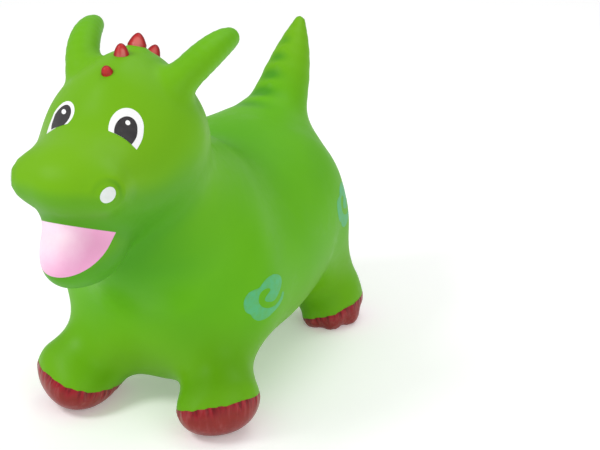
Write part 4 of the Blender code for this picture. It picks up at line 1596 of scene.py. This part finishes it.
def mix_colour(graph: Graph, share: object, first: object, second: object) -> bpy.types.NodeSocket:
    """Mixes two colours; the colour sockets of a Mix node are found by their type.

    Args:
        graph: The graph that takes the node.
        share: How much of the second colour there is.
        first: The colour at no share.
        second: The colour at full share.

    Returns:
        The mixed colour.
    """
    node = graph.tree.nodes.new("ShaderNodeMix")
    node.data_type = "RGBA"
    colours = [socket for socket in node.inputs if socket.type == "RGBA"]
    for socket, value in ((node.inputs["Factor"], share), (colours[0], first), (colours[1], second)):
        if isinstance(value, bpy.types.NodeSocket):
            graph.tree.links.new(value, socket)
        else:
            socket.default_value = value
    return next(socket for socket in node.outputs if socket.type == "RGBA")


def new_group(name: str, inputs: dict[str, tuple[str, object]], outputs: dict[str, str]
              ) -> tuple[bpy.types.NodeTree, Graph, dict[str, bpy.types.NodeSocket], bpy.types.Node]:
    """Starts a shader group with named sockets.

    Args:
        name: The group's name.
        inputs: Input names with their socket type and default.
        outputs: Output names with their socket type.

    Returns:
        The group, its graph, its input sockets by name and its output node.
    """
    tree = bpy.data.node_groups.new(name, "ShaderNodeTree")
    for socket, (kind, value) in inputs.items():
        made = tree.interface.new_socket(socket, in_out="INPUT", socket_type=kind)
        if value is not None:
            made.default_value = value
    for socket, kind in outputs.items():
        tree.interface.new_socket(socket, in_out="OUTPUT", socket_type=kind)
    graph = Graph(tree)
    source = graph.add("NodeGroupInput")
    target = graph.add("NodeGroupOutput")
    return tree, graph, {name: source.outputs[name] for name in inputs}, target


# How fine the grain is, and how much the slower patterns add to it and to the marks of hands.
GRAIN_SCALE = 700.0
SLOW_GRAIN_SHARE = 2.5
RUB_SHARE = 0.35


@dataclass(frozen=True)
class SharedEffects:
    """The effects that more than one finish uses."""

    grain: bpy.types.NodeTree
    mottle: bpy.types.NodeTree
    handling: bpy.types.NodeTree
    dust: bpy.types.NodeTree

    @classmethod
    def make(cls) -> "SharedEffects":
        """Builds the groups."""
        return cls(cls.make_grain(), cls.make_mottle(), cls.make_handling(), cls.make_dust())

    @staticmethod
    def make_grain() -> bpy.types.NodeTree:
        """Makes the fine grain of a moulded skin, as a height.

        Returns:
            The shader group.
        """
        tree, graph, given, target = new_group(
            "moulded_grain", {"Vector": ("NodeSocketVector", None), "Scale": ("NodeSocketFloat", 1.0)},
            {"Height": "NodeSocketFloat"})
        fine = graph.add("TexNoise", {"Vector": given["Vector"], "Detail": 3.0, "Roughness": 0.6})
        tree.links.new(graph.math("MULTIPLY", given["Scale"], GRAIN_SCALE), fine.inputs["Scale"])
        slow = graph.noise(given["Vector"], scale=60.0)
        total = graph.math("ADD", fine.outputs["Fac"], graph.math("MULTIPLY", slow, SLOW_GRAIN_SHARE))
        tree.links.new(total, target.inputs["Height"])
        return tree

    @staticmethod
    def make_mottle() -> bpy.types.NodeTree:
        """Makes the uneven density of sprayed paint, as a mask.

        Returns:
            The shader group.
        """
        tree, graph, given, target = new_group(
            "sprayed_mottle", {"Vector": ("NodeSocketVector", None), "Scale": ("NodeSocketFloat", 40.0)},
            {"Mask": "NodeSocketFloat"})
        cloud = graph.add("TexNoise", {"Vector": given["Vector"], "Detail": 4.0, "Roughness": 0.65})
        tree.links.new(given["Scale"], cloud.inputs["Scale"])
        tree.links.new(graph.span(cloud.outputs["Fac"], low=0.32, high=0.68), target.inputs["Mask"])
        return tree

    @staticmethod
    def make_handling() -> bpy.types.NodeTree:
        """Makes the patches that hands have polished, as a mask.

        Returns:
            The shader group.
        """
        tree, graph, given, target = new_group(
            "handled_patches", {"Vector": ("NodeSocketVector", None)}, {"Mask": "NodeSocketFloat"})
        patch = graph.noise(given["Vector"], scale=9.0, detail=3.0, rough=0.55)
        rub = graph.noise(given["Vector"], scale=95.0)
        total = graph.math("ADD", patch, graph.math("MULTIPLY", rub, RUB_SHARE))
        tree.links.new(graph.span(total, low=0.52, high=0.86), target.inputs["Mask"])
        return tree

    @staticmethod
    def make_dust() -> bpy.types.NodeTree:
        """Makes the dust that gathers towards the floor, as a mask.

        Returns:
            The shader group.
        """
        tree, graph, given, target = new_group(
            "floor_dust", {"Vector": ("NodeSocketVector", None), "Top": ("NodeSocketFloat", 0.03)},
            {"Mask": "NodeSocketFloat"})
        split = graph.add("SeparateXYZ", {"Vector": given["Vector"]})
        fade = graph.add("MapRange", {"Value": split.outputs["Z"], "From Min": 0.0, "To Min": 1.0,
                                      "To Max": 0.0})
        tree.links.new(given["Top"], fade.inputs["From Max"])
        speck = graph.noise(given["Vector"], scale=220.0, detail=3.0, rough=0.6)
        speck = graph.span(speck, low=0.40, high=0.66)
        tree.links.new(graph.math("MULTIPLY", fade.outputs["Result"], speck), target.inputs["Mask"])
        return tree


@dataclass(frozen=True)
class Finish:
    """A satin finish: its two colours, how they are laid, and its gloss."""

    name: str
    colour: Colour
    second: Colour
    mottle_scale: float = 30.0
    mottle: float = 0.5
    roughness: float = 0.42
    dulled: float = 0.10
    grain: float = 0.10
    grain_depth: float = 0.0002
    coat: float = 0.0
    coat_roughness: float = 0.15
    specular: float = 0.13
    dust: float = 0.0
    glow: float = 0.0
    dust_colour: Colour = (0.45, 0.42, 0.38, 1.0)
    dust_dulls: float = 0.4

    def tint(self, graph: Graph, vector: bpy.types.NodeSocket, mottled: bpy.types.NodeSocket
             ) -> bpy.types.NodeSocket:
        """Returns the colour over the piece; a special finish adds its own pattern here."""
        return mix_colour(graph, graph.math("MULTIPLY", mottled, self.mottle), self.colour, self.second)

    def relief(self, graph: Graph, vector: bpy.types.NodeSocket) -> bpy.types.NodeSocket | None:
        """Returns a height in metres that is pressed into the surface, or None."""
        return None

    def make(self, effects: SharedEffects) -> bpy.types.Material:
        """Builds the material.

        Args:
            effects: The groups that finishes share.

        Returns:
            The material.
        """
        material = bpy.data.materials.new(self.name)
        material.use_nodes = True
        graph = Graph(material.node_tree)
        shader = material.node_tree.nodes["Principled BSDF"]
        vector = graph.add("TexCoord").outputs["Object"]
        mottled = graph.add("Group", {}, node_tree=effects.mottle)
        graph.tree.links.new(vector, mottled.inputs["Vector"])
        mottled.inputs["Scale"].default_value = self.mottle_scale
        handled = graph.add("Group", {}, node_tree=effects.handling)
        graph.tree.links.new(vector, handled.inputs["Vector"])
        colour = self.tint(graph, vector, mottled.outputs["Mask"])
        rough = graph.span(handled.outputs["Mask"], 0.0, 1.0, self.roughness + self.dulled, self.roughness)
        if self.dust:
            dusty = graph.add("Group", {}, node_tree=effects.dust)
            graph.tree.links.new(vector, dusty.inputs["Vector"])
            share = graph.math("MULTIPLY", dusty.outputs["Mask"], self.dust)
            colour = mix_colour(graph, share, colour, self.dust_colour)
            rough = graph.math("ADD", rough, graph.math("MULTIPLY", share, self.dust_dulls))
        grain = graph.add("Group", {}, node_tree=effects.grain)
        graph.tree.links.new(vector, grain.inputs["Vector"])
        bump = graph.add("Bump", {"Height": grain.outputs["Height"], "Strength": self.grain,
                                  "Distance": self.grain_depth})
        pressed = self.relief(graph, vector)
        if pressed is not None:
            deep = graph.add("Bump", {"Height": pressed, "Strength": 1.0, "Distance": 1.0})
            graph.tree.links.new(deep.outputs["Normal"], bump.inputs["Normal"])
        graph.tree.links.new(colour, shader.inputs["Base Color"])
        graph.tree.links.new(rough, shader.inputs["Roughness"])
        graph.tree.links.new(bump.outputs["Normal"], shader.inputs["Normal"])
        shader.inputs["Specular IOR Level"].default_value = self.specular
        shader.inputs["Coat Weight"].default_value = self.coat
        shader.inputs["Coat Roughness"].default_value = self.coat_roughness
        shader.inputs["Emission Color"].default_value = (1.0, 1.0, 1.0, 1.0)
        shader.inputs["Emission Strength"].default_value = self.glow
        return material


@dataclass(frozen=True)
class SkinFinish(Finish):
    """The green PVC: yellower on the head, the legs and the tail, with a deeper green as painted shade in the
    hollows, under the head and on the back.
    """

    warm: Colour = (0.168, 0.420, 0.006, 1.0)
    low: Colour = (0.142, 0.405, 0.006, 1.0)
    # The deeper green of the painted shade.
    deep: Colour = (0.050, 0.270, 0.012, 1.0)
    painted_shade_share: float = 0.75
    front_span: tuple[float, float] = (0.02, -0.30)
    back_span: tuple[float, float] = (0.20, 0.30)
    high_span: tuple[float, float] = (0.20, 0.42)
    low_span: tuple[float, float] = (0.17, 0.06)

    def tint(self, graph: Graph, vector: bpy.types.NodeSocket, mottled: bpy.types.NodeSocket
             ) -> bpy.types.NodeSocket:
        """Colours the skin.

        Args:
            graph: The material's graph.
            vector: The place on the piece.
            mottled: The mottle's mask.

        Returns:
            The green over the skin.
        """
        base = super().tint(graph, vector, mottled)
        split = graph.add("SeparateXYZ", {"Vector": vector})
        front = graph.span(split.outputs["Y"], *self.front_span)
        high = graph.span(split.outputs["Z"], *self.high_span)
        base = mix_colour(graph, graph.math("MULTIPLY", front, high), base, self.warm)
        back = graph.span(split.outputs["Y"], *self.back_span)
        base = mix_colour(graph, graph.math("MULTIPLY", back, high), base, self.warm)
        base = mix_colour(graph, graph.span(split.outputs["Z"], *self.low_span), base, self.low)
        # Painted shade: the deeper green wherever the skin's shade attribute marks it.
        depth = graph.add("Attribute", attribute_name="painted_shade_amount", attribute_type="GEOMETRY").outputs["Fac"]
        return mix_colour(graph, graph.math("MULTIPLY", depth, self.painted_shade_share), base, self.deep)


@dataclass(frozen=True)
class FootFinish(Finish):
    """The red of the feet: brick below, crimson in the pleats that hang from the paint line, with painted
    shade in the creases between the pleats.

    The pleats follow the attribute paint_line: the place round the line, and the height above it.
    """

    crimson: Colour = (0.36, 0.008, 0.022, 1.0)
    shade: Colour = (0.12, 0.008, 0.010, 1.0)
    pale: Colour = (0.42, 0.10, 0.10, 1.0)
    pleat_depth: float = 0.0016
    fold_stretch: float = 0.16
    fold_span: tuple[float, float] = (0.36, 0.62)
    hang_depth: float = 0.016
    near_span: tuple[float, float] = (-0.024, -0.006)
    crimson_share: float = 0.85
    shade_share: float = 0.8
    streak_stretch: float = 0.12
    streak_span: tuple[float, float] = (0.52, 0.72)
    streak_share: float = 0.30

    def pleat(self, graph: Graph) -> tuple[bpy.types.NodeSocket, bpy.types.NodeSocket]:
        """Folds the pleats along the paint line.

        Args:
            graph: The material's graph.

        Returns:
            The pleats' height from 0 to 1, and how near the paint line a point is.
        """
        line = graph.add("Attribute", attribute_name="paint_line", attribute_type="GEOMETRY")
        split = graph.add("SeparateXYZ", {"Vector": line.outputs["Vector"]})
        flat = graph.add("CombineXYZ", {"X": split.outputs["X"], "Y": split.outputs["Y"],
                                        "Z": graph.math("MULTIPLY", split.outputs["Z"], self.fold_stretch)})
        fold = graph.noise(flat.outputs["Vector"], scale=210.0, detail=1.5, rough=0.45)
        sharp = graph.span(fold, *self.fold_span)
        hang = graph.noise(flat.outputs["Vector"], scale=95.0, detail=1.0)
        reach = graph.math("SUBTRACT", split.outputs["Z"], graph.math("MULTIPLY", hang, self.hang_depth))
        near = graph.span(reach, *self.near_span)
        return sharp, near

    def tint(self, graph: Graph, vector: bpy.types.NodeSocket, mottled: bpy.types.NodeSocket
             ) -> bpy.types.NodeSocket:
        """Colours a foot.

        Args:
            graph: The material's graph.
            vector: The place on the piece.
            mottled: The mottle's mask.

        Returns:
            The red over a foot.
        """
        base = super().tint(graph, vector, mottled)
        sharp, near = self.pleat(graph)
        base = mix_colour(graph, graph.math("MULTIPLY", near, self.crimson_share), base, self.crimson)
        # Painted shade in the creases between the pleats.
        crease_shade = graph.math("MULTIPLY", near, graph.math("SUBTRACT", 1.0, sharp))
        base = mix_colour(graph, graph.math("MULTIPLY", crease_shade, self.shade_share), base, self.shade)
        streaked = graph.add("Mapping", {"Vector": vector, "Scale": (1.0, 1.0, self.streak_stretch)})
        streak = graph.noise(streaked.outputs["Vector"], scale=150.0)
        streak = graph.span(streak, *self.streak_span, to_high=self.streak_share)
        return mix_colour(graph, streak, base, self.pale)

    def relief(self, graph: Graph, vector: bpy.types.NodeSocket) -> bpy.types.NodeSocket | None:
        """Returns the pleats' height, in metres."""
        sharp, near = self.pleat(graph)
        return graph.math("MULTIPLY", graph.math("MULTIPLY", sharp, near), self.pleat_depth)


@dataclass(frozen=True)
class HornFinish(Finish):
    """The glossy red of the horns, with painted shade deepening it towards the rims as the camera sees them,
    and a pale painted highlight in patches where a horn faces the camera.
    """

    # The pale red of the painted highlight.
    pale: Colour = (0.66, 0.17, 0.15, 1.0)
    # The deep red of the painted shade at the rims.
    rim: Colour = (0.27, 0.003, 0.005, 1.0)
    patch_scale: float = 95.0
    patch_stretch: float = 0.35
    patch_span: tuple[float, float] = (0.44, 0.64)
    patch_shares: tuple[float, float] = (0.10, 0.90)
    rim_shade_span: tuple[float, float] = (0.25, 0.60)
    facing_highlight_span: tuple[float, float] = (0.40, 0.05)

    def tint(self, graph: Graph, vector: bpy.types.NodeSocket, mottled: bpy.types.NodeSocket
             ) -> bpy.types.NodeSocket:
        """Colours a horn.

        Args:
            graph: The material's graph.
            vector: The place on the piece.
            mottled: The mottle's mask.

        Returns:
            The red over a horn.
        """
        base = super().tint(graph, vector, mottled)
        streaked = graph.add("Mapping", {"Vector": vector, "Scale": (1.0, 1.0, self.patch_stretch)})
        thin = graph.noise(streaked.outputs["Vector"], self.patch_scale, detail=1.5)
        thin = graph.span(thin, *self.patch_span, *self.patch_shares)
        # Painted shade towards the rims as the camera sees them, and a painted highlight in noise patches
        # where the horn faces the camera.
        facing = graph.add("LayerWeight", {"Blend": 0.5}).outputs["Facing"]
        base = mix_colour(graph, graph.span(facing, *self.rim_shade_span), base, self.rim)
        painted_highlight = graph.math("MULTIPLY", thin, graph.span(facing, *self.facing_highlight_span))
        return mix_colour(graph, painted_highlight, base, self.pale)


@dataclass(frozen=True)
class MouthFinish(Finish):
    """The pink of the mouth, darker towards its left and lower edges: painted shade where the jaw turns away.
    """

    centre: tuple[float, float, float] = (-0.020, -0.330, 0.312)
    shade_start: float = 0.012
    shade_end: float = 0.062
    mottle_share: float = 0.10

    def tint(self, graph: Graph, vector: bpy.types.NodeSocket, mottled: bpy.types.NodeSocket
             ) -> bpy.types.NodeSocket:
        """Colours the mouth.

        Args:
            graph: The material's graph.
            vector: The place on the piece.
            mottled: The mottle's mask.

        Returns:
            The pink over the mouth.
        """
        # Painted shade: the pink darkens with the distance from a point on the mouth.
        away = graph.add("VectorMath", {0: vector, 1: self.centre}, operation="DISTANCE").outputs["Value"]
        fade = graph.span(away, self.shade_start, self.shade_end)
        share = graph.math("ADD", fade, graph.math("MULTIPLY", mottled, self.mottle_share))
        return mix_colour(graph, share, self.colour, self.second)


@dataclass(frozen=True)
class Finishes:
    """Every material, by what it is for."""

    skin: bpy.types.Material
    foot_red: bpy.types.Material
    horn_red: bpy.types.Material
    mouth: bpy.types.Material
    eye_white: bpy.types.Material
    nostril_white: bpy.types.Material
    pupil: bpy.types.Material
    teal: bpy.types.Material
    valve_green: bpy.types.Material
    stopper_white: bpy.types.Material
    floor: bpy.types.Material

    @classmethod
    def make(cls) -> "Finishes":
        """Mixes the finishes.

        Returns:
            Every material.
        """
        effects = SharedEffects.make()
        kinds = {
            "skin": SkinFinish("green_pvc", (0.124, 0.440, 0.005, 1.0), (0.108, 0.405, 0.005, 1.0), 12.0,
                               roughness=0.40, dust=0.10),
            "foot_red": FootFinish("foot_paint", (0.265, 0.022, 0.018, 1.0), (0.195, 0.018, 0.015, 1.0), 70.0,
                                   roughness=0.32, dust=0.12, coat=0.20),
            "horn_red": HornFinish("horn_paint", (0.50, 0.018, 0.020, 1.0), (0.42, 0.014, 0.016, 1.0), 160.0,
                                   roughness=0.34, coat=0.05, specular=0.16),
            # The mouth's second pink is the darker pink of its painted shade.
            "mouth": MouthFinish("mouth_paint", (0.98, 0.75, 0.88, 1.0), (0.84, 0.38, 0.61, 1.0), 60.0,
                                 roughness=0.44),
            "eye_white": Finish("eye_white_paint", (0.90, 0.90, 0.90, 1.0), (0.84, 0.86, 0.84, 1.0), 90.0,
                                roughness=0.38),
            "nostril_white": Finish("nostril_paint", (0.76, 0.80, 0.78, 1.0), (0.66, 0.72, 0.68, 1.0), 120.0,
                                    roughness=0.42),
            "pupil": Finish("pupil_paint", (0.036, 0.034, 0.036, 1.0), (0.060, 0.055, 0.056, 1.0), 90.0,
                            roughness=0.34),
            "teal": Finish("swirl_paint", (0.10, 0.46, 0.20, 1.0), (0.115, 0.42, 0.085, 1.0), 120.0, 0.6,
                           roughness=0.42),
            "valve_green": Finish("valve_pvc", (0.110, 0.330, 0.040, 1.0), (0.090, 0.290, 0.034, 1.0), 60.0,
                                  roughness=0.45, dust=0.1),
            "stopper_white": Finish("stopper_plastic", (0.80, 0.80, 0.78, 1.0), (0.72, 0.72, 0.69, 1.0), 90.0,
                                    roughness=0.36, dust=0.15),
            "floor": Finish("studio_floor", (0.95, 0.95, 0.95, 1.0), (0.93, 0.93, 0.93, 1.0), 2.0,
                            roughness=0.70, grain=0.02, glow=0.22),
        }
        return cls(**{name: finish.make(effects) for name, finish in kinds.items()})


# The studio.


@dataclass(frozen=True)
class SoftLight:
    """One large soft light: its place, what it looks at, its width and its power."""

    name: str
    place: tuple[float, float, float]
    target: tuple[float, float, float]
    width: float
    power: float

    def build(self) -> None:
        """Hangs the light."""
        data = bpy.data.lights.new(self.name, "AREA")
        data.shape = "DISK"
        data.size = self.width
        data.energy = self.power
        lamp = bpy.data.objects.new(self.name, data)
        bpy.context.scene.collection.objects.link(lamp)
        lamp.location = self.place
        lamp.rotation_euler = (Vector(self.target) - Vector(self.place)).to_track_quat("-Z", "Y").to_euler()


@dataclass(frozen=True)
class Studio:
    """The pale floor, the soft lights and the camera of the photograph."""

    turn: float = 0.3983
    tilt: float = 0.3897
    slide_right: float = -0.1212
    slide_up: float = 0.0583
    away: float = 2.9196
    lens: float = 139.44
    look_at: tuple[float, float, float] = (0.0, 0.037, 0.25)
    floor_size: float = 12.0
    floor_segments: int = 8
    sensor: float = 36.0
    near: float = 0.1
    far: float = 60.0
    world: float = 0.56
    lights: tuple[SoftLight, ...] = (
        SoftLight("key", (-1.2, -1.4, 2.1), (0.0, -0.05, 0.2), 1.0, 29.0),
        SoftLight("fill", (1.9, -1.3, 1.2), (0.0, 0.0, 0.2), 1.8, 10.5),
        SoftLight("top", (0.4, 0.9, 2.2), (0.0, 0.1, 0.2), 1.6, 13.0))

    def camera(self) -> None:
        """Places the camera where the photograph was taken from."""
        right = Vector((math.cos(self.turn), math.sin(self.turn), 0.0))
        ahead = Vector((-math.sin(self.turn) * math.cos(self.tilt), math.cos(self.turn) * math.cos(self.tilt),
                        -math.sin(self.tilt)))
        upward = right.cross(ahead)
        data = bpy.data.cameras.new("camera")
        data.lens = self.lens
        data.sensor_width = self.sensor
        data.clip_start = self.near
        data.clip_end = self.far
        camera = bpy.data.objects.new("camera", data)
        bpy.context.scene.collection.objects.link(camera)
        place = Vector(self.look_at) - right * self.slide_right - upward * self.slide_up - ahead * self.away
        turned = Matrix((right, upward, -ahead)).transposed().to_4x4()
        camera.matrix_world = Matrix.Translation(place) @ turned
        bpy.context.scene.camera = camera

    def build(self, finishes: Finishes) -> None:
        """Sets up the floor, the world, the lights and the camera.

        Args:
            finishes: The finishes by name.
        """
        shape = bmesh.new()
        bmesh.ops.create_grid(shape, x_segments=self.floor_segments, y_segments=self.floor_segments,
                              size=self.floor_size)
        floor = from_bmesh("studio_floor", shape)
        dress(floor, finishes.floor)
        world = bpy.data.worlds.new("studio_world")
        world.use_nodes = True
        world.node_tree.nodes["Background"].inputs["Color"].default_value = (1.0, 1.0, 1.0, 1.0)
        world.node_tree.nodes["Background"].inputs["Strength"].default_value = self.world
        bpy.context.scene.world = world
        for light in self.lights:
            light.build()
        self.camera()
        bpy.context.scene.view_settings.view_transform = "Standard"


def main() -> None:
    """Builds the pieces in order and reports each one."""
    logging.basicConfig(level=logging.INFO, format="%(name)s %(message)s", stream=sys.stdout)
    finishes = Finishes.make()
    head, nostrils, valve = Head(), Nostrils(), Valve()
    skin_form = Skin(Trunk(), head, Ears(), Tail(), (FRONT_LEG, REAR_LEG))
    skin = skin_form.build(lambda tree: nostrils.spots(head, tree))
    printer = Printer(skin, surface_tree(skin.data))
    Eyes().build(printer, head, finishes)
    nostrils.build(printer, head, finishes)
    Mouth().build(printer, head, finishes)
    RedFeet().build(printer, skin_form.legs, finishes)
    for swirl in SWIRLS:
        swirl.build(printer, finishes)
    Horns().build(printer, head, finishes)
    belly = valve.bore(skin)
    valve.build(belly, finishes)
    legs = tuple(f"leg_{leg.name}_{side.word}" for leg in skin_form.legs for side in Side)
    finish_piece(skin, finishes.skin, ("trunk", "head", "ear_left", "ear_right", "tail", *legs))
    Studio().build(finishes)


if __name__ == "__main__":
    main()
